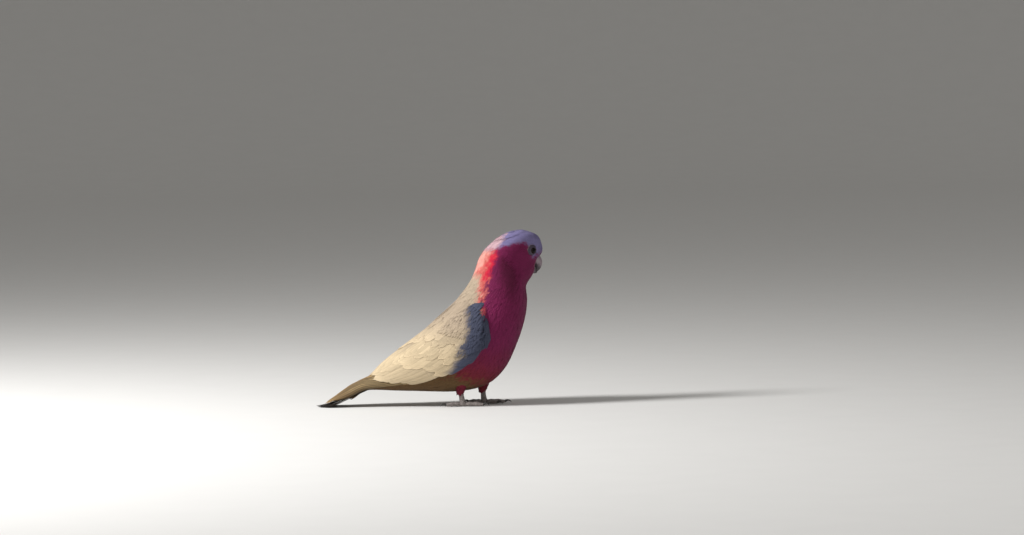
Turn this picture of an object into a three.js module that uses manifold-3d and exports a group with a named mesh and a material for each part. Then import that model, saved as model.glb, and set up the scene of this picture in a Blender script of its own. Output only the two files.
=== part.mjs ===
// A galah at life size, standing upright with its head turned to its left and its tail tip on the floor.
// Millimetres. +X is the way the body faces, +Y the bird's left, +Z up, and the floor is z = 0.
import * as THREE from "three";
import { mergeVertices } from "three/addons/utils/BufferGeometryUtils.js";
import Module from "manifold-3d";

const wasm = await Module();
wasm.setup();

// ---------------------------------------------------------------- driving dimensions
const radians = THREE.MathUtils.degToRad;
const GAP = 0.3; // between neighbouring solids
const SIDES = 26; // points round the head, neck and trunk
const BODY_STEPS = { head: 10, neck: 6, trunk: 18 }; // sections along each length

// Stations of the body, from the crown to the tips of the folded wings. Each is a flat oval section that
// runs from a point on the back line to a point on the front line. taper makes it narrower in front.
const STATIONS = [
  { at: "crown", back: [75, 203], front: [88.5, 202.4], half: 7, taper: 0 },
  { at: "top of the head", back: [62.8, 199.4], front: [100.6, 197.4], half: 15, taper: 0.1 },
  { at: "forehead", back: [48.2, 191.4], front: [106.2, 188.8], half: 19, taper: 0.2 },
  { at: "eyes", back: [37, 182.4], front: [106.6, 178.6], half: 20.8, taper: 0.25 },
  { at: "cheeks", back: [29.6, 171.5], front: [99.5, 166.5], half: 22.4, taper: 0.2 },
  { at: "chin", back: [24.6, 158.5], front: [95.5, 153.5], half: 25, taper: 0.1 },
  { at: "throat", back: [18.8, 145], front: [86.5, 140.5], half: 29.8, taper: 0 },
  { at: "shoulders", back: [7, 127.5], front: [87, 122], half: 36, taper: -0.04 },
  { at: "breast", back: [-9, 109.5], front: [83.4, 99.5], half: 39.5, taper: -0.06 },
  { at: "wing bend", back: [-28.5, 91.5], front: [74, 72], half: 40.5, taper: -0.06 },
  { at: "belly", back: [-49.5, 75.3], front: [60, 44], half: 39.5, taper: -0.04 },
  { at: "thighs", back: [-69, 61.3], front: [38.5, 25.5], half: 36, taper: 0 },
  { at: "vent", back: [-84, 48.8], front: [5, 18.4], half: 30, taper: 0 },
  { at: "tail coverts", back: [-95.5, 37.6], front: [-50, 19.4], half: 24.5, taper: 0 },
  { at: "tail base", back: [-107, 31], front: [-100, 19.5], half: 22.5, taper: 0 },
  { at: "mid tail", back: [-124, 24], front: [-122, 8], half: 21, taper: 0 },
  { at: "wing tips", back: [-139, 16.2], front: [-139, 2], half: 19, taper: 0 },
  { at: "past the wing tips", back: [-155, 7.5], front: [-155, 0.5], half: 15, taper: 0 },
];
const HEAD_END = 4.6; // where the head is parted from the neck, counted in stations
const NECK_END = 6.5; // where the neck is parted from the trunk
const PARTING = 0.025; // width of those partings, in stations
const TRUNK_END = 14; // where the covert feathers end on the tail

// The head is turned about an upright axis, and the turn fades out down the neck.
const HEAD_TURN = radians(22);
const TURN_AXIS_X = 71;
const TURN_FROM_Z = 112;
const TURN_FULL_Z = 162;

const EYE = {
  x: 91,
  z: 181,
  station: 3,
  radius: 5,
  depth: 3.3, // from the skin down to the ball's centre
  back: 1.2, // and a little back, as the skin there faces forward too
  around: 14,
  down: 8,
};

// The upper bill is a hook swept about one centre, from under the forehead to its point.
const BILL = {
  centre: [94.8, 165.8],
  radius: 11.7,
  from: radians(72),
  to: radians(-78),
  rootInner: 0.8, // the hollow side starts this far from the centre
  hollow: 3, // how late along the sweep the hollow side leaves the centre
  tip: 1, // depth at the point
  rootHalf: 7.4,
  tipHalf: 0.6,
  narrowing: 1.6, // how late along the sweep the sides draw in
  steps: 9,
  sides: 12,
};
const LOWER_BILL = {
  back: [87, 160.8],
  tip: [100, 154.8],
  depth: 12,
  half: 5.8,
  steps: 5,
  sides: 10,
};

// The crest lies flat over the crown. Its reach is in stations, down the nape and down the sides.
const CREST = { sides: 1.25, nape: 2.35, thick: 1.5, edge: 0.5, steps: 6 };

// A folded wing lies on the body as a shell. Its edges are angles from the middle of the back, given
// like its thickness at evenly spaced places from the bend of the wing to its tip.
const WING = {
  from: 7.1,
  to: 16.75,
  upper: [70, 42, 26, 16, 10, 7, 5, 5, 5, 7, 16],
  lower: [84, 98, 114, 114, 105, 94, 91, 89, 89, 84, 66],
  thick: [3.6, 4.6, 4.6, 4.2, 3.8, 3.4, 2.9, 2.5, 2.3, 2, 1.4],
  lift: 0.9, // clear of the body under it
  edge: 0.7, // thickness at its rim
  steps: 22,
  across: 7,
};

const TAIL = {
  from: -84,
  to: -164,
  lie: -143, // from here to the tip it lies on the floor
  ease: 10, // the bend where it meets the floor is rounded over this length each way
  rise: 0.44, // slope of its axis above that
  halfRoot: 17,
  halfEnd: 23.5,
  thickRoot: 6.2,
  thickEnd: 2.8,
  crown: 3.6, // how far its middle stands above its edges at the root
  crownEnd: 1.1,
  sunk: 1.3, // it is lowered this far and cut level, so that its tip lies on flats
  roundFrom: 0.82, // share of its length after which the end is rounded
  steps: 14,
  sides: 16,
};

const FEET = [
  { side: "right", x: 10.5, y: -17, lean: -3 },
  { side: "left", x: 33, y: 17, lean: -2 },
];
// lean above is how far the top of the leg stands ahead of the foot.
const TARSUS = { top: 21, radius: 3.3, ankle: 2.6, swell: 0.1, steps: 5, sides: 10 };
const BALL = { radius: 4.2, z: 3.4, around: 12, down: 7 }; // the joint that the toes grow from
const THIGH = {
  top: 46,
  bottom: 15.5,
  topRadius: 13,
  bottomRadius: 5.4,
  set: 5, // its top stands this far ahead of the leg
  steps: 5,
  sides: 16,
};
// Two toes point forward and two back. Headings are degrees outward from straight ahead.
const TOES = [
  { digit: 1, heading: 200, length: 11, radius: 2.3, claw: 8 },
  { digit: 2, heading: -24, length: 15, radius: 2.5, claw: 9 },
  { digit: 3, heading: 9, length: 22, radius: 2.7, claw: 10 },
  { digit: 4, heading: 158, length: 18, radius: 2.6, claw: 9 },
];
const TOE = {
  reach: 3, // from the middle of the foot to the first pad
  pads: 3,
  swell: 0.1,
  thinning: 0.22, // share of its radius lost towards the claw
  end: 0.55, // share of its radius left at the rounded end
  height: 0.8, // its axis runs this share of its radius above the floor, so that it stands on flats
  arch: 0.9,
  steps: 8,
  sides: 7,
};
const CLAW = { radius: 1.45, curve: radians(62), tip: 0.2, rise: 2.2, drop: 1.1, steps: 6, sides: 7 };

// ---------------------------------------------------------------- materials
const finish = (color, roughness) =>
  new THREE.MeshStandardMaterial({ color, roughness, metalness: 0 });
const MATERIALS = {
  crown: finish(0xe8cdd0, 0.8),
  rose: finish(0xb8394f, 0.8),
  grey: finish(0xb4b1ad, 0.75),
  tail: finish(0x77716c, 0.7),
  scale: finish(0x77706f, 0.65),
  horn: finish(0xb9b7ae, 0.45),
  claw: finish(0x3a3634, 0.45),
  eye: finish(0x1c1210, 0.15),
};

// ---------------------------------------------------------------- numbers and curves
const { sin, cos, sqrt, max, min, floor, PI } = Math;
const { clamp, lerp, smoothstep } = THREE.MathUtils;

// count + 1 values of make(f), with f running from 0 to 1.
const along = (count, make) => Array.from({ length: count + 1 }, (_, i) => make(i / count));

// One value of make(angle) for each of count places round a full turn.
const around = (count, make) => Array.from({ length: count }, (_, i) => make((2 * PI * i) / count));

// Value at t of a smooth curve through evenly spaced values.
function through(values, t) {
  const last = values.length - 1;
  const i = clamp(floor(t), 0, last - 1);
  const f = t - i;
  const at = (k) => values[clamp(k, 0, last)];
  const [a, b, c, d] = [at(i - 1), at(i), at(i + 1), at(i + 2)];
  return b + 0.5 * f * (c - a + f * (2 * a - 5 * b + 4 * c - d + f * (3 * (b - c) + d - a)));
}

const COLUMNS = {
  backX: STATIONS.map((s) => s.back[0]),
  backZ: STATIONS.map((s) => s.back[1]),
  frontX: STATIONS.map((s) => s.front[0]),
  frontZ: STATIONS.map((s) => s.front[1]),
  half: STATIONS.map((s) => s.half),
  taper: STATIONS.map((s) => s.taper),
};

// The head's turn, as a move of any point.
function turned(p) {
  const a = HEAD_TURN * smoothstep(p.z, TURN_FROM_Z, TURN_FULL_Z);
  const dx = p.x - TURN_AXIS_X;
  return new THREE.Vector3(
    TURN_AXIS_X + dx * cos(a) - p.y * sin(a),
    dx * sin(a) + p.y * cos(a),
    p.z,
  );
}

// Point of the body at station t and angle round it (0 the back, pi the front, positive to the
// bird's left), grown outward by grow.
function bodyPoint(t, angle, grow = 0) {
  const column = (name) => through(COLUMNS[name], t);
  const hx = (column("backX") - column("frontX")) / 2;
  const hz = (column("backZ") - column("frontZ")) / 2;
  const deep = sqrt(hx * hx + hz * hz);
  const half = column("half");
  const width = half * (1 + column("taper") * cos(angle));
  const nu = cos(angle) / deep;
  const nv = sin(angle) / half;
  const n = sqrt(nu * nu + nv * nv);
  const u = deep * cos(angle) + (grow * nu) / n;
  const v = width * sin(angle) + (grow * nv) / n;
  return new THREE.Vector3(
    (column("backX") + column("frontX")) / 2 + (u * hx) / deep,
    v,
    (column("backZ") + column("frontZ")) / 2 + (u * hz) / deep,
  );
}

// ---------------------------------------------------------------- closed meshes
const middleOf = (ring) =>
  ring.reduce((sum, p) => sum.add(p), new THREE.Vector3()).divideScalar(ring.length);

// Mesh of points and triangles, turned so that its faces point out.
function geometryOf(points, faces) {
  const geometry = new THREE.BufferGeometry();
  const numbers = points.flatMap((p) => [p.x, p.y, p.z]);
  geometry.setAttribute("position", new THREE.Float32BufferAttribute(numbers, 3));
  let volume = 0;
  for (const [a, b, c] of faces)
    volume += points[a].dot(new THREE.Vector3().crossVectors(points[b], points[c]));
  return geometry.setIndex(volume < 0 ? faces.flatMap(([a, b, c]) => [a, c, b]) : faces.flat());
}

// Closed body through rings of points, with a point at the middle of each end.
function loft(rings) {
  const n = rings[0].length;
  const points = rings.flat();
  const faces = [];
  for (let i = 0; i + 1 < rings.length; i++)
    for (let j = 0; j < n; j++) {
      const a = i * n + j;
      const b = i * n + ((j + 1) % n);
      faces.push([a, b, b + n], [a, b + n, a + n]);
    }
  const last = (rings.length - 1) * n;
  const first = points.push(middleOf(rings[0])) - 1;
  const end = points.push(middleOf(rings[rings.length - 1])) - 1;
  for (let j = 0; j < n; j++) {
    faces.push([first, (j + 1) % n, j]);
    faces.push([end, last + j, last + ((j + 1) % n)]);
  }
  return geometryOf(points, faces);
}

// Closed shell between two sheets of points with the same rows and columns.
function shell(outer, inner) {
  const rows = outer.length;
  const columns = outer[0].length;
  const under = rows * columns;
  const faces = [];
  for (let i = 0; i + 1 < rows; i++)
    for (let j = 0; j + 1 < columns; j++) {
      const a = i * columns + j;
      const c = a + columns;
      faces.push([a, a + 1, c + 1], [a, c + 1, c]);
      faces.push([under + a, under + c + 1, under + a + 1], [under + a, under + c, under + c + 1]);
    }
  const wall = (a, b) => faces.push([a, under + a, under + b], [a, under + b, b]);
  for (let j = 0; j + 1 < columns; j++) {
    wall(j, j + 1);
    wall((rows - 1) * columns + j + 1, (rows - 1) * columns + j);
  }
  for (let i = 0; i + 1 < rows; i++) {
    wall((i + 1) * columns, i * columns);
    wall(i * columns + columns - 1, (i + 1) * columns + columns - 1);
  }
  return geometryOf([...outer.flat(), ...inner.flat()], faces);
}

// Round limb along a path of points with a radius at each.
function limb(path, radii, sides) {
  const upright = 0.2; // an axis this near to upright has no heading to be square to
  const rings = path.map((p, i) => {
    const axis = new THREE.Vector3()
      .subVectors(path[min(i + 1, path.length - 1)], path[max(i - 1, 0)])
      .normalize();
    const across = new THREE.Vector3(-axis.y, axis.x, 0);
    if (across.length() < upright) across.set(0, 1, 0);
    across.normalize();
    const up = new THREE.Vector3().crossVectors(axis, across);
    return around(sides, (a) =>
      p.clone().addScaledVector(across, radii[i] * cos(a)).addScaledVector(up, radii[i] * sin(a)),
    );
  });
  return loft(rings);
}

// A closed mesh as a solid that can be cut and joined.
function solid(geometry) {
  const bare = geometry.clone();
  for (const name of Object.keys(bare.attributes)) if (name !== "position") bare.deleteAttribute(name);
  const merged = mergeVertices(bare, 1e-3);
  const mesh = new wasm.Mesh({
    numProp: 3,
    vertProperties: merged.attributes.position.array,
    triVerts: new Uint32Array(merged.index.array),
  });
  return new wasm.Manifold(mesh);
}

function geometryFrom(body) {
  const mesh = body.getMesh();
  const positions = new Float32Array(mesh.numVert * 3);
  for (let i = 0; i < mesh.numVert; i++) {
    const from = i * mesh.numProp;
    positions.set(mesh.vertProperties.subarray(from, from + 3), i * 3);
  }
  const geometry = new THREE.BufferGeometry();
  geometry.setAttribute("position", new THREE.BufferAttribute(positions, 3));
  return geometry.setIndex(new THREE.BufferAttribute(mesh.triVerts, 1));
}

// What would reach below the floor is cut away with this.
const UNDER_FLOOR = solid(new THREE.BoxGeometry(600, 200, 20).translate(0, 0, -10));

// ---------------------------------------------------------------- head, neck and trunk
// A length of the body between two stations.
function bodyLength(from, to, steps, grow = 0) {
  return loft(
    along(steps, (f) => around(SIDES, (angle) => turned(bodyPoint(lerp(from, to, f), angle, grow)))),
  );
}

// An eye's centre: on the side of the head at the eye's place, sunk below the skin.
function eyePlace(side) {
  const step = radians(0.5);
  let angle = PI / 2;
  while (bodyPoint(EYE.station, angle).x < EYE.x) angle += step;
  const y = bodyPoint(EYE.station, angle).y - EYE.depth;
  return turned(new THREE.Vector3(EYE.x - EYE.back, side * y, EYE.z));
}

function eyeball(side, grow = 0) {
  const { x, y, z } = eyePlace(side);
  const ball = new THREE.SphereGeometry(EYE.radius + grow, EYE.around, EYE.down);
  return ball.rotateX(PI / 2).translate(x, y, z);
}

function head() {
  const whole = solid(bodyLength(0, HEAD_END, BODY_STEPS.head));
  return geometryFrom(whole.subtract(solid(eyeball(1, GAP))).subtract(solid(eyeball(-1, GAP))));
}

// ---------------------------------------------------------------- bill and crest
function upperBill(grow = 0) {
  return along(BILL.steps, (f) => {
    const a = lerp(BILL.from, BILL.to, f);
    const inner = lerp(BILL.rootInner, BILL.radius - BILL.tip, f ** BILL.hollow);
    const middle = (BILL.radius + inner) / 2;
    const deep = (BILL.radius - inner) / 2 + grow;
    const half = BILL.rootHalf * (1 - f ** BILL.narrowing) + BILL.tipHalf * f + grow;
    return around(BILL.sides, (c) => {
      const r = middle + deep * cos(c);
      return turned(
        new THREE.Vector3(BILL.centre[0] + r * cos(a), half * sin(c), BILL.centre[1] + r * sin(a)),
      );
    });
  });
}

function lowerBill() {
  const { back, tip, depth, half, steps, sides } = LOWER_BILL;
  return along(steps, (f) => {
    const size = sqrt(1 - 0.9 * f ** 3); // blunt, drawing in only near the tip
    return around(sides, (c) => {
      const z = lerp(back[1], tip[1], f) + (depth / 2) * size * cos(c);
      return turned(new THREE.Vector3(lerp(back[0], tip[0], f) + size * cos(c), half * size * sin(c), z));
    });
  });
}

// Both halves of the bill, cut to fit the face and each other.
function bill() {
  const face = solid(bodyLength(0, HEAD_END, BODY_STEPS.head, GAP)).add(
    solid(bodyLength(HEAD_END - 0.1, NECK_END, BODY_STEPS.neck, GAP)),
  );
  const upper = solid(loft(upperBill())).subtract(face);
  const lower = solid(loft(lowerBill())).subtract(face).subtract(solid(loft(upperBill(GAP))));
  return { upper: geometryFrom(upper), lower: geometryFrom(lower) };
}

// The crest is a shell over the crown, thickest in the middle.
function crest() {
  const clear = 2 * GAP; // off the flat facets of the head
  const ring = (f, outside) =>
    around(SIDES, (angle) => {
      const reach = lerp(CREST.sides, CREST.nape, ((1 + cos(angle)) / 2) ** 2);
      const thick = outside ? lerp(CREST.edge, CREST.thick, sqrt(1 - f ** 4)) : 0;
      const p = bodyPoint(f * reach, angle, clear + thick * f);
      return turned(p.setZ(p.z + GAP + thick * (1 - f)));
    });
  return loft([
    ...along(CREST.steps, (f) => ring(f, true)),
    ...along(CREST.steps, (f) => ring(1 - f, false)),
  ]);
}

// ---------------------------------------------------------------- wings and tail
function wing(side) {
  const last = WING.upper.length - 1;
  const roundness = (f, power) => sqrt(max(0, 1 - (2 * f - 1) ** power)); // 0 at both ends
  const sheet = (outside) =>
    along(WING.steps, (f) => {
      const t = lerp(WING.from, WING.to, f);
      const upper = radians(through(WING.upper, f * last));
      const lower = radians(through(WING.lower, f * last));
      return along(WING.across, (g) => {
        const swell = roundness(g, 6) * roundness(f, 8);
        const thick = lerp(WING.edge, through(WING.thick, f * last), swell);
        const p = bodyPoint(t, lerp(upper, lower, g), WING.lift + (outside ? thick : 0));
        return turned(p.setY(side * p.y));
      });
    });
  return shell(sheet(true), sheet(false));
}

// Height of the tail's underside at x: level on the floor, then rising to the body.
function tailHeight(x) {
  const d = x - TAIL.lie;
  if (Math.abs(d) < TAIL.ease) return (TAIL.rise * (d + TAIL.ease) ** 2) / (4 * TAIL.ease);
  return max(0, d) * TAIL.rise;
}

function tail(grow = 0) {
  const rings = along(TAIL.steps, (f) => {
    const x = lerp(TAIL.from + grow, TAIL.to - grow, f);
    const past = max(0, f - TAIL.roundFrom) / (1 - TAIL.roundFrom);
    const round = lerp(0.35, 1, sqrt(max(0.04, 1 - past ** 2.6)));
    const half = lerp(TAIL.halfRoot, TAIL.halfEnd, f) * round + grow;
    const thick = lerp(TAIL.thickRoot, TAIL.thickEnd, f) / 2 + grow;
    return around(TAIL.sides, (a) => {
      const arch = lerp(TAIL.crown, TAIL.crownEnd, f) * sin(a) ** 2;
      const z = tailHeight(x) + arch + thick * (1 + sin(a)) - grow - TAIL.sunk;
      return new THREE.Vector3(x, half * cos(a), z);
    });
  });
  return loft(rings);
}

// ---------------------------------------------------------------- legs and feet
function thigh(foot, neighbours) {
  const path = along(THIGH.steps, (f) => {
    const x = foot.x + foot.lean + THIGH.set * (1 - f);
    return new THREE.Vector3(x, foot.y, lerp(THIGH.top, THIGH.bottom, f));
  });
  const radii = along(THIGH.steps, (f) => lerp(THIGH.topRadius, THIGH.bottomRadius, sqrt(f)));
  return geometryFrom(solid(limb(path, radii, THIGH.sides)).subtract(neighbours));
}

function tarsus(foot, grow = 0) {
  const path = along(TARSUS.steps, (f) => {
    const z = lerp(TARSUS.top + (f === 0 ? 4 * grow : 0), TARSUS.ankle, f);
    return new THREE.Vector3(foot.x + foot.lean * (1 - f), foot.y, z);
  });
  const radii = along(TARSUS.steps, (f) => TARSUS.radius * (1 + TARSUS.swell * cos(2 * PI * f)) + grow);
  return solid(limb(path, radii, TARSUS.sides));
}

// Direction in which a toe points.
function toeWay(foot, toe) {
  const a = radians(toe.heading) * (foot.side === "right" ? -1 : 1);
  return new THREE.Vector3(cos(a), sin(a), 0);
}

function toeSolid(foot, toe, grow = 0) {
  const way = toeWay(foot, toe);
  const path = along(TOE.steps, (f) =>
    new THREE.Vector3(foot.x, foot.y, toe.radius * TOE.height + TOE.arch * sin(PI * f))
      .addScaledVector(way, f * (toe.length + TOE.reach + grow)),
  );
  const radii = along(TOE.steps, (f) => {
    const pads = 1 + TOE.swell * cos(2 * PI * TOE.pads * f);
    return toe.radius * (1 - TOE.thinning * f) * pads * (f === 1 ? TOE.end : 1) + grow;
  });
  return solid(limb(path, radii, TOE.sides));
}

// The bare leg and its four toes, cut level where they stand on the floor.
function footSolid(foot) {
  const ball = new THREE.SphereGeometry(BALL.radius, BALL.around, BALL.down);
  let whole = tarsus(foot).add(solid(ball.translate(foot.x, foot.y, BALL.z)));
  for (const toe of TOES) whole = whole.add(toeSolid(foot, toe));
  return whole.subtract(UNDER_FLOOR);
}

function claw(foot, toe) {
  const way = toeWay(foot, toe);
  const start = toe.length + TOE.reach - 1;
  const bend = toe.claw / CLAW.curve;
  const path = along(CLAW.steps, (f) => {
    const z = toe.radius * TOE.height + CLAW.rise * sin(PI * f) - CLAW.drop * f;
    return new THREE.Vector3(foot.x, foot.y, z)
      .addScaledVector(way, start + bend * sin(CLAW.curve * f));
  });
  const radii = along(CLAW.steps, (f) => CLAW.radius * lerp(1, CLAW.tip, f));
  return geometryFrom(solid(limb(path, radii, CLAW.sides)).subtract(toeSolid(foot, toe, GAP)));
}

// ---------------------------------------------------------------- the bird
const galah = new THREE.Group();
galah.name = "galah";

function add(name, geometry, material) {
  const mesh = new THREE.Mesh(geometry, MATERIALS[material]);
  mesh.name = name;
  galah.add(mesh);
}

add("head", head(), "rose");
add("crest", crest(), "crown");
add("neck", bodyLength(HEAD_END + PARTING, NECK_END, BODY_STEPS.neck), "rose");
add("trunk", bodyLength(NECK_END + PARTING, TRUNK_END, BODY_STEPS.trunk), "rose");
const jaws = bill();
add("bill_upper", jaws.upper, "horn");
add("bill_lower", jaws.lower, "horn");

const trunkRoom = solid(bodyLength(NECK_END, TRUNK_END + 2 * PARTING, BODY_STEPS.trunk, GAP));
const tailRoom = solid(tail(GAP));
for (const [side, name] of [[-1, "right"], [1, "left"]]) {
  add("eye_" + name, eyeball(side), "eye");
  const folded = solid(wing(side)).subtract(tailRoom).subtract(trunkRoom);
  add("wing_" + name, geometryFrom(folded), "grey");
}
add("tail", geometryFrom(solid(tail()).subtract(trunkRoom).subtract(UNDER_FLOOR)), "tail");

for (const foot of FEET) {
  add("thigh_" + foot.side, thigh(foot, trunkRoom.add(tarsus(foot, GAP))), "rose");
  add("foot_" + foot.side, geometryFrom(footSolid(foot).subtract(trunkRoom)), "scale");
  for (const toe of TOES) add("claw_" + foot.side + "_" + toe.digit, claw(foot, toe), "claw");
}

// The origin is the middle of the bird's outer box, on the floor.
const box = new THREE.Box3().setFromObject(galah);
galah.position.set(-(box.min.x + box.max.x) / 2, -(box.min.y + box.max.y) / 2, -box.min.z);

export default galah;
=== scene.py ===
"""A life-size galah, dressed over its solids: skin, feathers, bill, eyes, scaled feet and claws."""

import functools
import math
from typing import NamedTuple

import bpy
import numpy as np
from bpy.props import FloatProperty, FloatVectorProperty, IntProperty, PointerProperty
from mathutils import Matrix, Vector, noise
from mathutils.bvhtree import BVHTree


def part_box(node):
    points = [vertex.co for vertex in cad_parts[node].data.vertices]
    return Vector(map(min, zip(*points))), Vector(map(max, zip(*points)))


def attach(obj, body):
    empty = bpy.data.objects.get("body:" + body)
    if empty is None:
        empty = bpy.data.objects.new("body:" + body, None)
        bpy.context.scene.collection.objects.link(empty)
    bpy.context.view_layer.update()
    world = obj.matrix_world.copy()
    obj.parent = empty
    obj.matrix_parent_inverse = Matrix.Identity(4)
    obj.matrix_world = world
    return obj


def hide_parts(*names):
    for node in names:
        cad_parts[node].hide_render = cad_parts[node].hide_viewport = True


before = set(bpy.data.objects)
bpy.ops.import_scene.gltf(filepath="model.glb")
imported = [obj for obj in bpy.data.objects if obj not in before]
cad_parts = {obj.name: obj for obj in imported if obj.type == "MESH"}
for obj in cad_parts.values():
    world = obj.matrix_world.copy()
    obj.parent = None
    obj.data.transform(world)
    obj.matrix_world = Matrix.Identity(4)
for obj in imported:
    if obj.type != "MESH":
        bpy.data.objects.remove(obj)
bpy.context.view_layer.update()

bl_info = {
    "name": "Galah",
    "version": (1, 0, 0),
    "blender": (4, 5, 0),
    "location": "View3D > Sidebar > Galah",
    "description": "Skin, feathers, bill, eyes and feet of a life-size galah",
    "category": "Add Mesh",
}

MM = 0.001
FULL_TURN = 2 * math.pi
SIDES = {"right": -1, "left": 1}  # sign of the angle round the body on each side

# ---------------------------------------------------------------- sizes, shared with the solids
# Stations of the body from crown to wing tips: back point (x, z), front point (x, z), half width,
# taper. Millimetres from the measuring origin, which is TAIL_TIP ahead of the tail tip.
STATIONS = (
    ("crown", (75, 203), (88.5, 202.4), 7, 0),
    ("top of the head", (62.8, 199.4), (100.6, 197.4), 15, 0.1),
    ("forehead", (48.2, 191.4), (106.2, 188.8), 19, 0.2),
    ("eyes", (37, 182.4), (106.6, 178.6), 20.8, 0.25),
    ("cheeks", (29.6, 171.5), (99.5, 166.5), 22.4, 0.2),
    ("chin", (24.6, 158.5), (95.5, 153.5), 25, 0.1),
    ("throat", (18.8, 145), (86.5, 140.5), 29.8, 0),
    ("shoulders", (7, 127.5), (87, 122), 36, -0.04),
    ("breast", (-9, 109.5), (83.4, 99.5), 39.5, -0.06),
    ("wing bend", (-28.5, 91.5), (74, 72), 40.5, -0.06),
    ("belly", (-49.5, 75.3), (60, 44), 39.5, -0.04),
    ("thighs", (-69, 61.3), (38.5, 25.5), 36, 0),
    ("vent", (-84, 48.8), (5, 18.4), 30, 0),
    ("tail coverts", (-95.5, 37.6), (-50, 19.4), 24.5, 0),
    ("tail base", (-107, 31), (-100, 19.5), 22.5, 0),
    ("mid tail", (-124, 24), (-122, 8), 21, 0),
    ("wing tips", (-139, 16.2), (-139, 2), 19, 0),
    ("past the wing tips", (-155, 7.5), (-155, 0.5), 15, 0),
)
TAIL_TIP = 164 * MM
ORIGIN_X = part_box("tail")[0].x + TAIL_TIP  # where the measuring origin stands in the frame
HEAD_TURN = math.radians(22)
TURN_AXIS_X = 71 * MM + ORIGIN_X
TURN_Z = (112 * MM, 162 * MM)  # the turn grows between these heights

# The folded wing at even steps from its bend to its tip: the angles of its upper and lower edge, in
# degrees from the middle of the back, and its thickness.
WING_REACH = (7.1, 16.75)  # stations at the bend and the tip
WING_UPPER = np.array((70, 42, 26, 16, 10, 7, 5, 5, 5, 7, 16.0))
WING_LOWER = np.array((84, 98, 114, 114, 105, 94, 91, 89, 89, 84, 66.0))
WING_THICK = np.array((3.6, 4.6, 4.6, 4.2, 3.8, 3.4, 2.9, 2.5, 2.3, 2, 1.4)) * MM
WING_LIFT = 0.9 * MM  # from the body to the wing's underside

BILL_CENTRE = (94.8, 165.8)  # x, z of the arc that the upper bill follows
BILL_RADIUS = 11.7
BILL_SWEEP = (math.radians(72), math.radians(-78))
BILL_ROOT = (99.5, 0, 166.5)  # where the bill leaves the face
LIE_CENTRE = (104, 0, 170)  # the feathers of the head lie away from here
EYE_RADIUS = 5 * MM
EYE_RING = 7.3 * MM  # how far bare skin reaches round the eye's centre

# Where the tail starts and where it comes to lie on the floor, half that bend's length, and its slope.
TAIL_ROOT, TAIL_LIE, TAIL_EASE, TAIL_RISE = -84 * MM, -143 * MM, 10 * MM, 0.44
FEET = {"right": (10.5, -17, -3), "left": (33, 17, -2)}  # x, y, lean of the leg
# Each toe: heading in degrees, reach, thickness, length of the claw.
TOES = {1: (200, 11, 2.3, 8), 2: (-24, 15, 2.5, 9), 3: (9, 22, 2.7, 10), 4: (158, 18, 2.6, 9)}
TOE_REACH = 3  # from the middle of the foot to where the toes part
TOE_HEIGHT = 0.8  # of a toe's middle, in thicknesses

# ---------------------------------------------------------------- sizes of the plumage
CROWN_END = -0.97  # stations below 0 close the crown over its first oval, down to -1
CROWN_DOME = 2.0  # how far the crown rises over that oval, in millimetres
DOME_INSET = 0.9  # how much of the coat's depth the dome gives way
ARM_SHARE = 0.75  # thickness of the arm, as a share of the wing's
ARM_EDGE, COVERT_EDGE = (0.86, 1.0), (0.98, 1.1)  # where arm and coverts fall off, in shares across
VANE_THICK, TAIL_VANE_THICK = 0.09 * MM, 0.12 * MM
VANE_ARCH = 0.07  # how far a feather's sides bend down, as a share of its half width
RAGGED = 0.04  # spread of a feather's edge, as a share of its half width
LIE_SPREAD, LIE_KEPT = 0.08, 0.55  # spread of the lie, and how much of it a feather keeps at each step
PATCH = 0.003  # size of a small feather's patch on the unwrap


# ---------------------------------------------------------------- properties
def length(name, value, description):
    """A property in metres."""
    return FloatProperty(name=name, default=value, unit="LENGTH", description=description)


def turn(name, degrees, description):
    """An angle, given in degrees and held in radians."""
    value = math.radians(degrees)
    return FloatProperty(name=name, default=value, subtype="ANGLE", description=description)


def power(name, value, description):
    """A lamp's power in watts."""
    return FloatProperty(name=name, default=value, unit="POWER", description=description)


def colour(name, value, description):
    """A linear colour."""
    return FloatVectorProperty(
        name=name, default=value, subtype="COLOR", size=3, min=0, max=1, description=description
    )


class GalahCoat(bpy.types.PropertyGroup):
    """How deep and how fine the plumage is."""

    face_depth: length("Face depth", 0.9 * MM, "Depth of the coat round the eye and bill")
    head_depth: length("Head depth", 1.5 * MM, "Depth of the coat on crown and cheeks")
    body_depth: length("Body depth", 2.9 * MM, "Depth of the coat on breast and back")
    face_spacing: length("Face spacing", 1.1 * MM, "Distance between feathers round the bill")
    head_spacing: length("Head spacing", 1.5 * MM, "Distance between feathers on the head")
    body_spacing: length("Body spacing", 2.5 * MM, "Distance between feathers on breast and back")
    overlap: FloatProperty(name="Overlap", default=6.0, description="Feather length in spacings")
    slender: FloatProperty(name="Slender", default=0.76, description="Half its width in spacings")
    seed: IntProperty(name="Seed", default=7, description="Which of the random arrangements")


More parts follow.
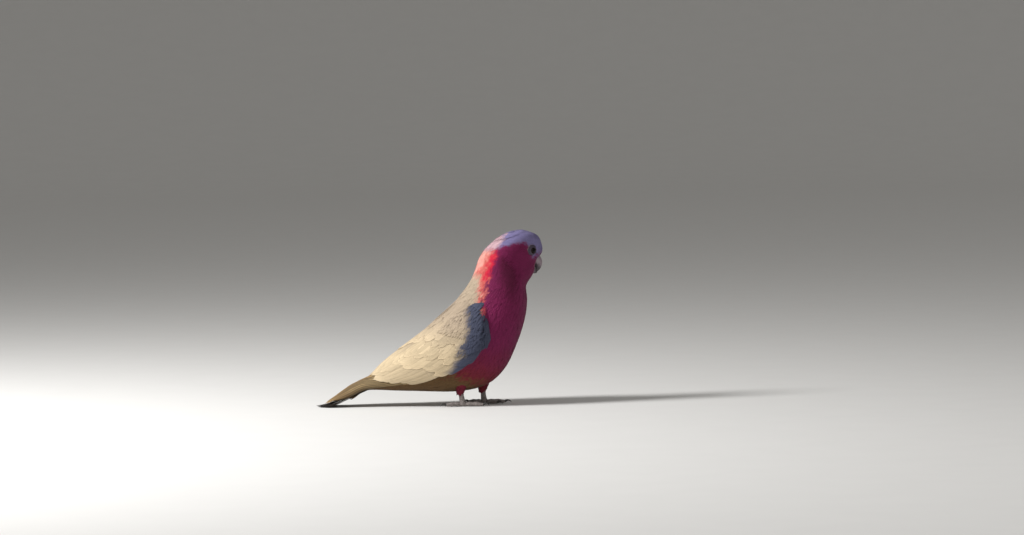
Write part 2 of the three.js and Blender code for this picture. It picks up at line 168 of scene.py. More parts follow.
class GalahColours(bpy.types.PropertyGroup):
    """Colours of the plumage and the bare parts."""

    # Rose: the real rose-pink, darkened and blued as painted shade over face, neck and breast.
    rose: colour("Rose", (0.165, 0.010, 0.064), "Face, neck and breast")
    # Shaded fold: painted shade, a darker rose laid just behind the cheek's rear edge.
    shaded_fold: colour("Fold", (0.085, 0.004, 0.028), "Feathers in the fold behind the cheek")
    belly: colour("Belly", (0.155, 0.013, 0.014), "Belly and thighs")
    # Nape and blush: the hind neck's paler pink, brightened and warmed as painted sunlight.
    nape: colour("Nape", (0.52, 0.10, 0.085), "Hind neck")
    blush: colour("Blush", (0.66, 0.30, 0.25), "Palest feathers of the hind neck")
    # Sunlit flush: painted light, a bright red band at the edge of the painted shade on the neck.
    flush: colour("Flush", (0.56, 0.014, 0.042), "Brightest feathers at the side of the neck")
    # Crown: the cap's pale pink, darkened and blued as painted shade on the front and sides.
    crown: colour("Crown", (0.19, 0.165, 0.325), "Cap over forehead and sides")
    crest: colour("Crest", (0.56, 0.365, 0.40), "Crest and the rear of the cap")
    # Sunlit mantle: the back's pale grey, warmed and brightened as painted sunlight.
    sunlit_mantle: colour("Mantle", (0.37, 0.29, 0.21), "Back and shoulders")
    # Forewing: the wing's grey, darkened and blued as painted shade over the bend.
    forewing: colour("Forewing", (0.055, 0.062, 0.10), "Bend of the wing")
    # Sunlit rump: the paler grey of the rump and inner wing, warmed as painted sunlight.
    sunlit_rump: colour("Rump", (0.55, 0.435, 0.28), "Rump and the ends of the inner wing feathers")
    # Sunlit primary and flight: the long wing feathers' dark grey, turned tan and golden as painted
    # warm sunlight.
    sunlit_primary: colour("Primary", (0.50, 0.35, 0.16), "Roots of the long wing feathers")
    flight: colour("Flight", (0.275, 0.175, 0.075), "Ends of the long wing feathers")
    tail: colour("Tail", (0.13, 0.095, 0.065), "Tail feathers")
    # Vent: the pale grey under the tail, darkened and browned as painted shade.
    vent: colour("Vent", (0.11, 0.06, 0.022), "Under the tail")
    down: colour("Down", (0.30, 0.24, 0.25), "Hidden roots of the feathers")
    # Shaded horn: the bill's pale horn, darkened and mauved as painted shade.
    shaded_horn: colour("Horn", (0.27, 0.205, 0.235), "Bill")
    # Bill tip shade: painted shade darkening the end of the bill.
    bill_tip: colour("Bill tip", (0.045, 0.036, 0.04), "Worn end of the bill")
    # Eye ring: the bare skin's grey-pink, darkened as painted shade.
    ring: colour("Eye ring", (0.078, 0.055, 0.086), "Bare skin round the eye")
    # Crease shade: darker patches of that skin, spread by noise, painted as shade in its creases.
    crease_shade: colour("Crease", (0.045, 0.032, 0.052), "Creases of that skin")
    scale: colour("Scales", (0.16, 0.14, 0.135), "Legs and toes")
    plate: colour("Plates", (0.34, 0.29, 0.27), "Palest plates of the legs and toes")
    claw: colour("Claws", (0.032, 0.028, 0.026), "Claws")
    claw_tip: colour("Claw tip", (0.012, 0.011, 0.011), "Points of the claws")
    iris: colour("Iris", (0.012, 0.005, 0.003), "Eye")
    fleck: colour("Fleck", (0.026, 0.010, 0.006), "Palest flecks of the iris")
    pupil: colour("Pupil", (0.002, 0.002, 0.002), "Pupil")
    eye_rim: colour("Rim of the eye", (0.012, 0.008, 0.008), "Eyeball outside the iris")


class GalahStudio(bpy.types.PropertyGroup):
    """Camera, floor and lights."""

    floor: colour("Floor", (0.78, 0.77, 0.75), "Floor and surroundings")
    azimuth: turn("Azimuth", 4, "Camera heading")
    elevation: turn("Elevation", 3, "Camera height")
    roll: turn("Roll", 0.95, "Camera roll")
    distance: length("Distance", 5.0, "From the camera to the bird")
    field: length("Field", 1.198, "Width that the frame takes in at the bird")
    key: power("Key", 62, "Main soft light")
    fill: power("Fill", 5, "Second soft light")


def coat():
    """Settings of the coat."""
    return bpy.context.scene.galah_coat


def colours():
    """Settings of the colours."""
    return bpy.context.scene.galah_colours


def studio():
    """Settings of the studio."""
    return bpy.context.scene.galah_studio


# ---------------------------------------------------------------- curves and the body's shape
def lerp(a, b, f):
    """Share f of the way from a to b."""
    return a + (b - a) * f


def smooth(low, high, x):
    """0 below low, 1 above high, and a smooth rise between."""
    f = np.clip((x - low) / (high - low), 0, 1)
    return f * f * (3 - 2 * f)


def between(low, high, x):
    """1 between two borders and 0 beyond them; each border says where its slope starts and ends."""
    return smooth(*low, x) * (1 - smooth(*high, x))


def unit(v):
    """Vectors at length 1."""
    return v / np.maximum(np.linalg.norm(v, axis=-1, keepdims=True), 1e-12)


def through(values, t):
    """Value at t of a smooth curve through evenly spaced values."""
    last = len(values) - 1
    i = np.clip(np.floor(t), 0, last - 1).astype(int)
    f = t - i
    a, b, c, d = (values[np.clip(i + k, 0, last)] for k in (-1, 0, 1, 2))
    return b + 0.5 * f * (c - a + f * (2 * a - 5 * b + 4 * c - d + f * (3 * (b - c) + d - a)))


def ring_angles(count):
    """Angles at even steps round a circle."""
    return np.linspace(0, FULL_TURN, count, endpoint=False)


def placed(x, y, z):
    """Points in the frame, from millimetres of the measuring origin."""
    return np.stack(np.broadcast_arrays(x * MM + ORIGIN_X, y * MM, z * MM), -1)


COLUMNS = [
    np.array(column, float)
    for column in zip(*((*back, *front, half, taper) for _, back, front, half, taper in STATIONS))
]


def body_point(t, angle, grow=0.0):
    """Point of the body at station t and angle round it, grown outward, before the head's turn."""
    t, angle = np.broadcast_arrays(np.asarray(t, float), angle)
    back_x, back_z, front_x, front_z, half, taper = (through(c, np.maximum(t, 0)) for c in COLUMNS)
    hx, hz = (back_x - front_x) / 2, (back_z - front_z) / 2
    deep = np.hypot(hx, hz)
    width = half * (1 + taper * np.cos(angle))
    nu, nv = np.cos(angle) / deep, np.sin(angle) / half
    n = np.hypot(nu, nv)
    size = np.sqrt(np.clip(1 - np.minimum(t, 0) ** 2, 0, 1))  # shrinks to nothing over the crown
    g = np.asarray(grow) / MM
    u = (deep * np.cos(angle) + g * nu / n) * size
    v = (width * np.sin(angle) + g * nv / n) * size
    dome = (CROWN_DOME + np.minimum(g, 0) * DOME_INSET) * (1 - size)
    x = (back_x + front_x) / 2 + u * hx / deep
    z = (back_z + front_z) / 2 + u * hz / deep + dome
    return placed(x, v, z)


def turned(p):
    """The head's turn, as a move of points."""
    p = np.asarray(p, float)
    a = HEAD_TURN * smooth(*TURN_Z, p[..., 2])
    dx = p[..., 0] - TURN_AXIS_X
    x = TURN_AXIS_X + dx * np.cos(a) - p[..., 1] * np.sin(a)
    y = dx * np.sin(a) + p[..., 1] * np.cos(a)
    return np.stack([x, y, p[..., 2]], -1)


def along_wing(values, t):
    """Value at station t of a list that runs from the wing's bend to its tip."""
    share = (t - WING_REACH[0]) / (WING_REACH[1] - WING_REACH[0])
    return through(values, np.clip(share, 0, 1) * (len(values) - 1))


def wing_edges(t):
    """Upper and lower edge of the folded wing at station t, as angles."""
    return np.radians(along_wing(WING_UPPER, t)), np.radians(along_wing(WING_LOWER, t))


def wing_thickness(t):
    """Thickness of the folded wing at station t."""
    return along_wing(WING_THICK, t)


def across_wing(t, angle):
    """Share of the way from the wing's upper edge to its lower edge."""
    upper, lower = wing_edges(t)
    return (np.abs(angle) - upper) / (lower - upper)


def coat_depth(t, angle):
    """Depth of the coat, from the skin out to the tips of the feathers."""
    c = coat()
    deep = lerp(c.head_depth, c.body_depth, smooth(3.2, 7, t))
    face = between((1.9, 2.8), (4.2, 5.2), t) * smooth(1.5, 2.3, np.abs(angle))
    return lerp(deep, c.face_depth, face)


def feather_spacing(t, angle):
    """Distance between feathers: least round the bill and eyes, most on breast and back."""
    c = coat()
    gap = lerp(c.head_spacing, c.body_spacing, smooth(3.6, 7.0, t))
    face = between((1.6, 2.6), (3.8, 5.2), t) * smooth(1.2, 2.2, np.abs(angle))
    return lerp(gap, c.face_spacing, face)


def arm_height(t, angle, edge=ARM_EDGE):
    """How far the folded arm under the coverts stands above the body, falling off at its edge."""
    across = between((0.0, 0.3), edge, across_wing(t, angle))
    along = between((7.2, 8.0), (10.8, 12.4), t)
    return (WING_LIFT + wing_thickness(t) * ARM_SHARE) * across * along


def raised_point(t, angle, height):
    """Point at a height above the body's outline, with the head turned."""
    return turned(body_point(t, angle, height))


def skin_point(t, angle):
    """Point of the skin: inside the solids by the coat's depth, with the arms standing out."""
    return raised_point(t, angle, arm_height(t, angle) - coat_depth(t, angle))


# ---------------------------------------------------------------- meshes
def linked(name, data):
    """A new object of the scene."""
    made = bpy.data.objects.new(name, data)
    bpy.context.scene.collection.objects.link(made)
    return made


def mesh_piece(name, points, quads, material, slot, place=None, uvs=None, rim=None):
    """A piece of the model from numpy arrays. For each vertex, place says where its markings are taken
    from, uvs where it is on each map, and rim whether it lies on a sharp edge."""
    mesh = bpy.data.meshes.new(name)
    points, quads = np.asarray(points, np.float32), np.asarray(quads, np.int32)
    mesh.vertices.add(len(points))
    mesh.vertices.foreach_set("co", points.ravel())
    corners = quads.shape[1]
    mesh.loops.add(quads.size)
    mesh.loops.foreach_set("vertex_index", quads.ravel())
    mesh.polygons.add(len(quads))
    mesh.polygons.foreach_set("loop_start", np.arange(len(quads), dtype=np.int32) * corners)
    mesh.update(calc_edges=True)
    mesh.polygons.foreach_set("use_smooth", np.ones(len(quads), bool))
    for layer, values in (uvs or {}).items():
        mesh.uv_layers.new(name=layer).uv.foreach_set(
            "vector", np.asarray(values, np.float32)[quads.ravel()].ravel()
        )
    if place is not None:
        layer = mesh.attributes.new("place", "FLOAT_VECTOR", "POINT")
        layer.data.foreach_set("vector", np.asarray(place, np.float32).ravel())
    if rim is not None:
        ends = np.empty(len(mesh.edges) * 2, np.int32)
        mesh.edges.foreach_get("vertices", ends)
        sharp = np.asarray(rim)[ends.reshape(-1, 2)].all(1)
        mesh.attributes.new("sharp_edge", "BOOLEAN", "EDGE").data.foreach_set("value", sharp)
    mesh.validate()
    mesh.materials.append(material)
    piece = linked(name, mesh)
    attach(piece, "root")
    return piece


def grid_quads(rows, columns, closed=False):
    """Faces of a sheet of points; closed joins its last column to its first."""
    across = columns if closed else columns - 1
    i, j = np.meshgrid(np.arange(rows - 1), np.arange(across), indexing="ij")
    a, b = i * columns + j, i * columns + (j + 1) % columns
    return np.stack([a, b, b + columns, a + columns], -1).reshape(-1, 4)


def tube(rings):
    """Closed body through rings of points, an even number in each, with flat ends."""
    rings = np.asarray(rings, float)
    rows, n = rings.shape[:2]
    j = np.arange(n // 2 - 1)
    cap = np.stack([j, j + 1, n - 2 - j, n - 1 - j], -1)
    sides = grid_quads(rows, n, closed=True)
    return rings.reshape(-1, 3), np.concatenate([sides, cap[:, ::-1], cap + (rows - 1) * n])


def round_tube(path, radii, sides=24, wide=1.0, shape=None):
    """A tube along a path, its rings upright on it; shape(row, angles) changes its radius."""
    path = np.asarray(path, float)
    ahead = unit(np.gradient(path, axis=0))
    upright = abs(ahead[0, 2]) > 0.8
    side = unit(np.cross((1.0, 0, 0) if upright else (0, 0, 1.0), ahead))
    up = np.cross(ahead, side)
    a = ring_angles(sides)
    r = np.asarray(radii)[:, None] * np.ones(sides)
    if shape is not None:
        r = r * shape(np.arange(len(path))[:, None], a[None])
    a = a[None, :, None]
    around = side[:, None] * (np.cos(a) * wide) + up[:, None] * np.sin(a)
    return tube(path[:, None] + around * r[..., None])


def share_place(share, across=0.0):
    """Place of each vertex of a hard part: its share of the length, and how far it is across."""
    return np.stack(np.broadcast_arrays(share, across, 0.0), -1).reshape(-1, 3)


def joined(parts):
    """Points and quads of several bodies together."""
    starts = np.cumsum([0] + [len(points) for points, _ in parts[:-1]])
    quads = [quads + start for (_, quads), start in zip(parts, starts)]
    return np.concatenate([points for points, _ in parts]), np.concatenate(quads)


def fused(parts, voxel, rounds):
    """Points and quads of one closed body made from several that run into each other."""
    points, quads = joined(parts)
    mesh = bpy.data.meshes.new("rough")
    mesh.from_pydata(points.tolist(), [], quads.tolist())
    rough = linked("rough", mesh)
    remesh = rough.modifiers.new("Remesh", "REMESH")
    remesh.mode = "VOXEL"
    remesh.voxel_size = voxel
    soft = rough.modifiers.new("Smooth", "SMOOTH")
    soft.iterations = rounds
    final = rough.evaluated_get(bpy.context.evaluated_depsgraph_get()).to_mesh()
    points = np.empty(len(final.vertices) * 3, np.float32)
    final.vertices.foreach_get("co", points)
    quads = np.empty(len(final.loops), np.int32)
    final.loops.foreach_get("vertex_index", quads)
    bpy.data.objects.remove(rough)
    return points.reshape(-1, 3), quads.reshape(-1, 4)


class Surface:
    """A smooth sheet that feathers grow on: it finds the nearest place, its normal and the lie."""

    def __init__(self, points, lie, station=None, angle=None):
        """points is a grid closed round its columns, with a lie, station and angle at each point."""
        quads = grid_quads(*points.shape[:2], closed=True)
        flat = points.reshape(-1, 3)
        along = np.gradient(points, axis=0)
        around = (np.roll(points, -1, 1) - np.roll(points, 1, 1)) / 2
        normal = unit(np.cross(along, around)).reshape(-1, 3)
        if ((flat - flat.mean(0)) * normal).sum() < 0:
            normal = -normal
        self.normal = unit(normal[quads].mean(1))
        self.lie = lie.reshape(-1, 3)[quads].mean(1)
        self.station = None if station is None else station.reshape(-1)[quads[:, 0]]
        self.angle = None if angle is None else angle.reshape(-1)[quads[:, 0]]
        self.tree = BVHTree.FromPolygons(flat.tolist(), quads.tolist())

    def nearest(self, points):
        """The nearest places on the sheet, and the faces that they lie on."""
        found = [self.tree.find_nearest(p) for p in points.tolist()]
        index = np.array([f[2] for f in found])
        return np.array([f[0][:] for f in found]), index

    def direction(self, index, normal):
        """The lie at some faces, made square to the normals there."""
        lie = self.lie[index]
        return unit(lie - normal * (lie * normal).sum(-1, keepdims=True))


# ---------------------------------------------------------------- feathers
class Vane:
    """The plan of one closed feather: rows along it, columns across it, top and underside.

    tip and root are its width there as shares of the fullest, which it has at the share fullest of its
    length; blunt says how late it narrows."""

    def __init__(self, rows, columns, tip=0.06, root=0.35, fullest=0.35, blunt=1.6):
        self.along = 1 - (1 - np.linspace(0, 1, rows)) ** 1.7  # closer together towards the tip
        self.across = np.linspace(-1, 1, columns)
        s = self.along
        grown = root + (1 - root) * np.sqrt(np.clip(s / 0.4, 0, 1))
        past = np.clip(s - fullest, 0, 1) / (1 - fullest)
        self.width = grown * np.sqrt(1 - past**blunt * (1 - tip**2))
        top = np.arange(rows * columns).reshape(rows, columns)
        inner = top[1:-1, 1:-1]
        under = top.copy()
        under[1:-1, 1:-1] = rows * columns + np.arange(inner.size).reshape(inner.shape)
        cells = grid_quads(rows, columns)
        self.quads = np.concatenate([cells[:, ::-1], under.ravel()[cells]])
        self.inner = inner.ravel()
        rim = np.ones((rows, columns), bool)
        rim[1:-1, 1:-1] = False
        self.rim = np.append(rim.ravel(), np.zeros(inner.size, bool))
        s, c = (grid.ravel() for grid in np.meshgrid(self.along, self.across, indexing="ij"))
        self.s, self.c = np.append(s, s[self.inner]), np.append(c, c[self.inner])


class Plumage:
    """Collects feathers of one piece and makes its mesh."""

    def __init__(self, vane):
        self.vane = vane
        self.random = np.random.default_rng(coat().seed)
        self.points, self.places, self.patches = [], [], []
        self.hand = 1  # which way across a feather the second half of its map lies

    def add_feathers(self, middle, normal, ahead, half, places, patches):
        """Feathers from their middle lines, which are (feathers, rows, 3), and half widths."""
        v = self.vane
        side = unit(np.cross(normal, ahead))
        c = v.across[None, None, :, None]
        ragged = 1 + self.random.normal(0, RAGGED, (len(half), len(v.along), len(v.across), 1))
        wide = (half[:, None] * v.width)[:, :, None, None] * ragged
        back = (half[:, None] * 0.3 * v.along**3)[:, :, None, None]  # the tip is round in plan
        top = (
            middle[:, :, None] + side[:, :, None] * wide * c
            - ahead[:, :, None] * back * c**2 - normal[:, :, None] * wide * VANE_ARCH * c**2
        )
        self.add_grids(top, normal, VANE_THICK, places, patches)

    def add_grids(self, top, normal, thick, places, patches):
        """Feathers from their upper sides: top is (feathers, rows, columns, 3), normal without columns.
        places are per feather, or per point of the upper side."""
        top = top.reshape(len(top), -1, 3)
        normal = np.repeat(normal, len(self.vane.across), 1)
        under = (top - normal * thick)[:, self.vane.inner]
        self.points.append(np.concatenate([top, under], 1))
        if places.ndim == 2:
            places = np.repeat(places[:, None], top.shape[1], 1)
        self.places.append(np.concatenate([places, places[:, self.vane.inner]], 1))
        self.patches.append(patches)

    def piece(self, name, material, slot, patch=(PATCH, PATCH)):
        """One piece of all the feathers, with the size of their patches on the unwrap."""
        v = self.vane
        points = np.concatenate(self.points)
        places = np.concatenate(self.places).reshape(-1, 3)
        patches = np.concatenate(self.patches)
        n = len(points)
        quads = (v.quads[None] + (np.arange(n) * points.shape[1])[:, None, None]).reshape(-1, 4)
        own = np.stack([v.c * self.hand * 0.5 + 0.5, v.s], -1)
        uvs = {
            "OFBake": (patches[:, None] + (own - 0.5) * patch).reshape(-1, 2),
            "Vane": np.tile(own, (n, 1)),
        }
        rim = np.tile(v.rim, n)
        return mesh_piece(name, points.reshape(-1, 3), quads, material, slot, places, uvs, rim)


def unwrap(station, angle):
    """Place of a root on the flat unwrap of the skin: round the body across, along the body up."""
    first, last, used = -1.0, 17.0, 0.96
    u = 0.5 + angle / FULL_TURN * used
    v = (1 - used) / 2 + (station - first) / (last - first) * used
    return np.stack([u, v], -1)


@functools.cache
def eye_frames():
    """Centre, outward axis and two cross axes of each eye."""
    found = {}
    for side in SIDES:
        low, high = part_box("eye_" + side)
        centre = np.array((low + high) / 2)
        out = body_surface().normal[body_surface().nearest(centre[None])[1][0]]
        up = unit(np.array((0, 0, 1.0)) - out * out[2])
        found[side] = (centre, out, up, np.cross(up, out))
    return found


def skin_grid(rows, columns, end):
    """Stations and angles of a grid over the skin, finer over the crown, up to the station end."""
    stations = np.concatenate([np.linspace(CROWN_END, 0, 24)[:-1], np.linspace(0, end, rows)])
    angles = np.linspace(-math.pi, math.pi, columns, endpoint=False)
    return np.meshgrid(stations, angles, indexing="ij")


@functools.cache
def body_surface():
    """The skin of head, neck, trunk and arms as a sheet, with the lie of the feathers."""
    t, a = skin_grid(460, 260, 15.7)
    points = skin_point(t, a)
    down = unit(np.gradient(raised_point(t, a, 0), axis=0))
    away = points - turned(placed(*LIE_CENTRE))
    far = np.linalg.norm(away, axis=-1, keepdims=True)
    head = 1 - smooth(28 * MM, 74 * MM, far)
    head = np.maximum(head, (1 - smooth(0.6, 2.2, t))[..., None])
    lie = unit(unit(away) * head + down * (1 - head) * 0.8)
    return Surface(points, lie, t, a)


def round_eyes(points, lie):
    """Turns the lie aside so that feathers part round the eyes."""
    for centre, out, _, _ in eye_frames().values():
        d = points - centre
        d = d - out * (d @ out)[..., None]
        far = np.linalg.norm(d, axis=-1, keepdims=True)
        near = 1 - smooth(EYE_RING, EYE_RING * 1.8, far)
        far = np.maximum(far, 1e-6)
        inward = np.minimum((lie * d).sum(-1, keepdims=True) / far, 0)
        lie = lie - d / far * inward * near * 0.8
    return unit(lie)


def bare(points):
    """Whether skin at these points is bare: round the eyes and under the bill's root."""
    found = np.zeros(len(points), bool)
    for centre, out, up, across in eye_frames().values():
        d = points - centre
        found |= (np.hypot(d @ across, d @ up) < EYE_RING * 0.84) & (d @ out > -10 * MM)
    d = points - turned(placed(*BILL_ROOT))
    found |= np.linalg.norm(d * (1.0, 1.0, 0.82), axis=-1) < 6.0 * MM
    return found


def scattered(spacing, stations, angles, seed):
    """Stations and angles of places spread over the skin about spacing(t, a) apart, row by row.

    Rows follow each other at the least distance in them, and places are dropped where it is more."""
    random = np.random.default_rng(seed)
    a = np.linspace(-math.pi, math.pi, 73)
    look, t, found = 0.02, stations[0], []
    while t < stations[1]:
        station = np.full(len(a), t)
        here, ahead = skin_point(station, a), skin_point(station + look, a)
        gap = spacing(station, a)
        low = gap.min()
        around = np.linalg.norm(np.diff(here, axis=0), axis=-1)
        reach = np.concatenate([[0], np.cumsum(around * 2 / (gap[1:] + gap[:-1]))])
        count = max(int(reach[-1]), 3)
        step = low * look / max(np.linalg.norm(ahead - here, axis=-1).mean(), 1e-6)
        offset = 0.5 * (len(found) % 2)
        at = (np.arange(count) + offset + random.uniform(-0.16, 0.16, count)) / count
        angle = np.interp((at % 1) * reach[-1], reach, a)
        station = t + random.uniform(-0.2, 0.2, count) * step
        kept = random.random(count) < low / np.interp(angle, a, gap)
        found.append(np.stack([station, angle], -1)[kept])
        t += max(step, 0.004)
    found = np.concatenate(found)
    inside = (np.abs(found[:, 1]) >= angles[0]) & (np.abs(found[:, 1]) <= angles[1])
    return found[inside]


def evenly(gap):
    """The same spacing everywhere."""
    return lambda t, angle: np.full(np.shape(t), gap)


def lay(plumage, surface, spots, lengths, halves, depth, places, seed):
    """Lays feathers on a surface from their roots, each following the lie and rising to depth."""
    random = np.random.default_rng(seed)
    v = plumage.vane
    n = len(spots)
    turn = random.normal(0, LIE_SPREAD, n)[:, None]
    lift = depth * random.uniform(0.98, 1.03, n)
    lie = None
    middle, normals = [], []
    for step in np.diff(v.along, prepend=0):
        if lie is not None:
            spots = spots + lie * (lengths * step)[:, None]
        spots, index = surface.nearest(spots)
        normal = surface.normal[index]
        fresh = round_eyes(spots, surface.direction(index, normal))
        fresh = unit(fresh + np.cross(normal, fresh) * turn)
        lie = fresh if lie is None else lie * LIE_KEPT + fresh * (1 - LIE_KEPT)
        lie = unit(lie - normal * (lie * normal).sum(-1, keepdims=True))
        middle.append(spots)
        normals.append(normal)
    middle, normals = np.stack(middle, 1), np.stack(normals, 1)
    rise = 0.04 + 0.96 * (1 - (1 - v.along) ** 2) - 0.045 * smooth(0.75, 1, v.along)
    height = lift[:, None] * rise
    middle = middle + normals * height[..., None]
    ahead = unit(np.gradient(middle, axis=1))
    normals = unit(normals - ahead * (normals * ahead).sum(-1, keepdims=True))
    places = np.column_stack([places, random.random(n)])
    plumage.add_feathers(middle, normals, ahead, halves, places, unwrap(*places[:, :2].T))


# ---------------------------------------------------------------- shader maths
class Value:
    """A socket that takes part in sums: an expression on values adds its Math nodes."""

    def __init__(self, shader, socket):
        self.shader, self.socket = shader, socket

    def math(self, operation, *values):
        """The result of a Math node."""
        return self.shader.node("Math", {"operation": operation}, *values)

    def __add__(self, other):
        return self.math("ADD", self, other)

    def __sub__(self, other):
        return self.math("SUBTRACT", self, other)

    def __rsub__(self, other):
        return self.math("SUBTRACT", other, self)

    def __mul__(self, other):
        return self.math("MULTIPLY", self, other)

    __radd__, __rmul__ = __add__, __mul__

    def __abs__(self):
        return self.math("ABSOLUTE", self)

    def sin(self):
        return self.math("SINE", self)

    def smooth(self, low, high):
        """0 below low, 1 above high, and a smooth rise between."""
        settings = {"interpolation_type": "SMOOTHSTEP"}
        inputs = {"Value": self, "From Min": low, "From Max": high}
        return self.shader.node("MapRange", settings, **inputs)


class Shader:
    """A material and the ways of filling its node tree."""

    def __init__(self, name, **constants):
        self.material = bpy.data.materials.new(name)
        self.material.use_nodes = True
        self.tree = self.material.node_tree
        self.surface = self.tree.nodes["Principled BSDF"]
        for socket, value in constants.items():
            label = socket.replace("_", " ").title().replace("Ior", "IOR")
            self.surface.inputs[label].default_value = value

    def node(self, kind, settings=None, *values, output=0, **inputs):
        """Adds a node: its type, its settings first, then the values or links of its sockets."""
        node = self.tree.nodes.new("ShaderNode" + kind)
        for name, value in (settings or {}).items():
            setattr(node, name, value)
        for socket, value in [*enumerate(values), *inputs.items()]:
            self.fill(node.inputs[socket], value)
        return Value(self, node.outputs[output])

    def fill(self, target, value):
        """Links a value to a socket, or sets the socket to a number or a colour."""
        if isinstance(value, Value):
            self.tree.links.new(value.socket, target)
        elif target.type == "RGBA":
            target.default_value = (*value[:3], 1)
        else:
            target.default_value = value

    def mix(self, low, high, factor, blend="MIX"):
        """A colour between two colours."""
        settings = {"data_type": "RGBA", "blend_type": blend, "clamp_factor": True}
        mixed = self.node("Mix", settings, factor, output=2)
        for index, value in ((6, low), (7, high)):  # the node's two colours
            self.fill(mixed.socket.node.inputs[index], value)
        return mixed

    def shade(self, tone, share):
        """A colour made darker or brighter by a share."""
        return self.mix(tone, self.node("CombineColor", None, share, share, share), 1.0, "MULTIPLY")

    def parts(self, vector):
        """The three numbers of a vector."""
        node = self.node("SeparateXYZ", None, vector).socket.node
        return [Value(self, socket) for socket in node.outputs]

    def place(self):
        """Station, angle and own number of a feather, or the shares along and across a hard part."""
        return self.parts(self.node("Attribute", {"attribute_name": "place"}, output="Vector"))

    def vane(self):
        """The shares across and along a feather."""
        return self.parts(self.node("UVMap", {"uv_map": "Vane"}))[:2]

    def noise(self, scale, detail=2.0, vector=None):
        """Noise from 0 to 1 over the piece itself, scale in waves per metre."""
        vector = vector or self.node("TexCoord", None, output="Object")
        return self.node("TexNoise", None, Vector=vector, Scale=scale, Detail=detail)

    def feed(self, socket, value):
        """Gives a value to a socket of the surface."""
        self.fill(self.surface.inputs[socket], value)

    def bump(self, height, strength, distance):
        """Relief: distance is the height in metres that height 1 stands for."""
        inputs = {"Height": height, "Strength": strength, "Distance": distance}
        self.feed("Normal", self.node("Bump", None, **inputs))


# ---------------------------------------------------------------- markings and finishes
# Borders of the markings are given by station along the body and by angle from the middle of the back.
def behind_cheek(t, angle):
    """How far past the rear edge of the cheek, which slants down and forward, in stations."""
    return t - (angle - 1.065) * 1.9 - 3.05


def body_markings(s):
    """Colour of the body's plumage, from the station and angle of each feather's root."""
    tint = colours()
    t, a, seed = s.place()
    a = abs(a)
    wander, blotch = s.noise(55.0) - 0.5, s.noise(150.0, 1.5) - 0.5
    t = t + wander * 0.55 + (seed - 0.5) * 0.3
    # Rose in front, towards the belly's red. The real rose-pink is darkened and blued as painted shade,
    # with more painted shade in the fold behind the cheek.
    behind = behind_cheek(t, a)
    rose = s.mix(tint.rose, tint.belly, t.smooth(8.2, 11.0))
    shaded = behind.smooth(-0.15, 0.2) * (1 - behind.smooth(0.5, 1.9)) * a.smooth(1.0, 1.4)
    shaded = shaded * (1 - a.smooth(2.0, 2.6))
    rose = s.mix(rose, tint.shaded_fold, shaded * 0.8)
    # The hind neck: its own paler pink, brightened and warmed as painted sunlight and palest in the
    # middle. A band of painted light runs where it meets the painted shade of the rose.
    out = a + blotch * 0.5 - t.smooth(4.8, 7.3) * 0.65
    pale = a + blotch * 1.4 + (t - 3.4) * 0.16 - t.smooth(5.0, 6.2) * 0.9
    nape = s.mix(tint.nape, tint.blush, 1 - pale.smooth(0.1, 0.75))
    sunlit_band = (blotch + 0.72 - t.smooth(4.6, 5.2) * 0.22).smooth(0.34, 0.64)
    sunlit_band = sunlit_band * (1 - t.smooth(4.9, 5.5) * (1 - t.smooth(6.2, 6.7)))
    nape = s.mix(nape, tint.flush, out.smooth(0.52, 0.8) * sunlit_band)
    # The hind neck's border with the rose follows the edge of the painted shade.
    on_neck = t.smooth(2.2, 2.9) * (1 - (out + t.smooth(5.2, 6.5) * 0.12).smooth(0.8, 1.06))
    tone = s.mix(rose, nape, on_neck)
    # The back, whose border runs from the nape down the flanks to the thighs. Its grey is warmed as
    # painted sunlight, and darkened low on the flanks and under the tail as painted shade.
    border = 4.85 + a.smooth(0.3, 1.5) * 2.1 + a.smooth(1.35, 1.85) * 3.55
    back = s.mix(tint.sunlit_mantle, tint.sunlit_rump, t.smooth(8.0, 10.5))
    # Painted shade low on the flanks, under the wing.
    back = s.mix(back, tint.vent, a.smooth(1.3, 1.7))
    tone = s.mix(tone, back, (t + blotch * 0.5 - border).smooth(-0.4, 0.35))
    # The cap: pale pink over the crest and its rear, and darkened and blued as painted shade on its
    # front and sides.
    cap = 2.28 + (1 - a.smooth(0.2, 0.9)) * 0.35 + a.smooth(1.7, 2.5) * 1.2
    # Where the cap keeps its pale pink; elsewhere it takes the painted shade.
    hind = (t + 1) * (a + math.pi / 2).sin() + blotch * 2.2 - a.smooth(0.4, 1.0) * 1.6
    crown = s.mix(tint.crown, tint.crest, hind.smooth(0.35, 2.2))
    ragged = blotch * (0.7 - a.smooth(1.5, 2.0) * 0.5)
    return s.mix(tone, crown, 1 - (t + ragged - cap).smooth(-0.35, 0.25))


def wing_markings(s):
    """Colour of the wing's coverts: grey darkened and blued as painted shade on the bend, and pale and
    warm as painted sunlight behind it.
    """
    tint = colours()
    t, a, seed = s.place()
    wander = s.noise(60.0) - 0.5
    # The edge of the painted shade across the wing.
    border = 1.32 + t.smooth(7.0, 8.6) * 0.2 + (t - 9.0) * 0.12
    forewing_shade = (abs(a) + wander * 0.22 + (seed - 0.5) * 0.06 - border).smooth(-0.12, 0.1)
    forewing_shade = forewing_shade * (1 - (t + wander * 0.5).smooth(10.75, 11.15))
    pale = s.mix(tint.sunlit_mantle, tint.sunlit_rump, t.smooth(7.8, 10.4))
    return s.mix(pale, tint.forewing, forewing_shade)


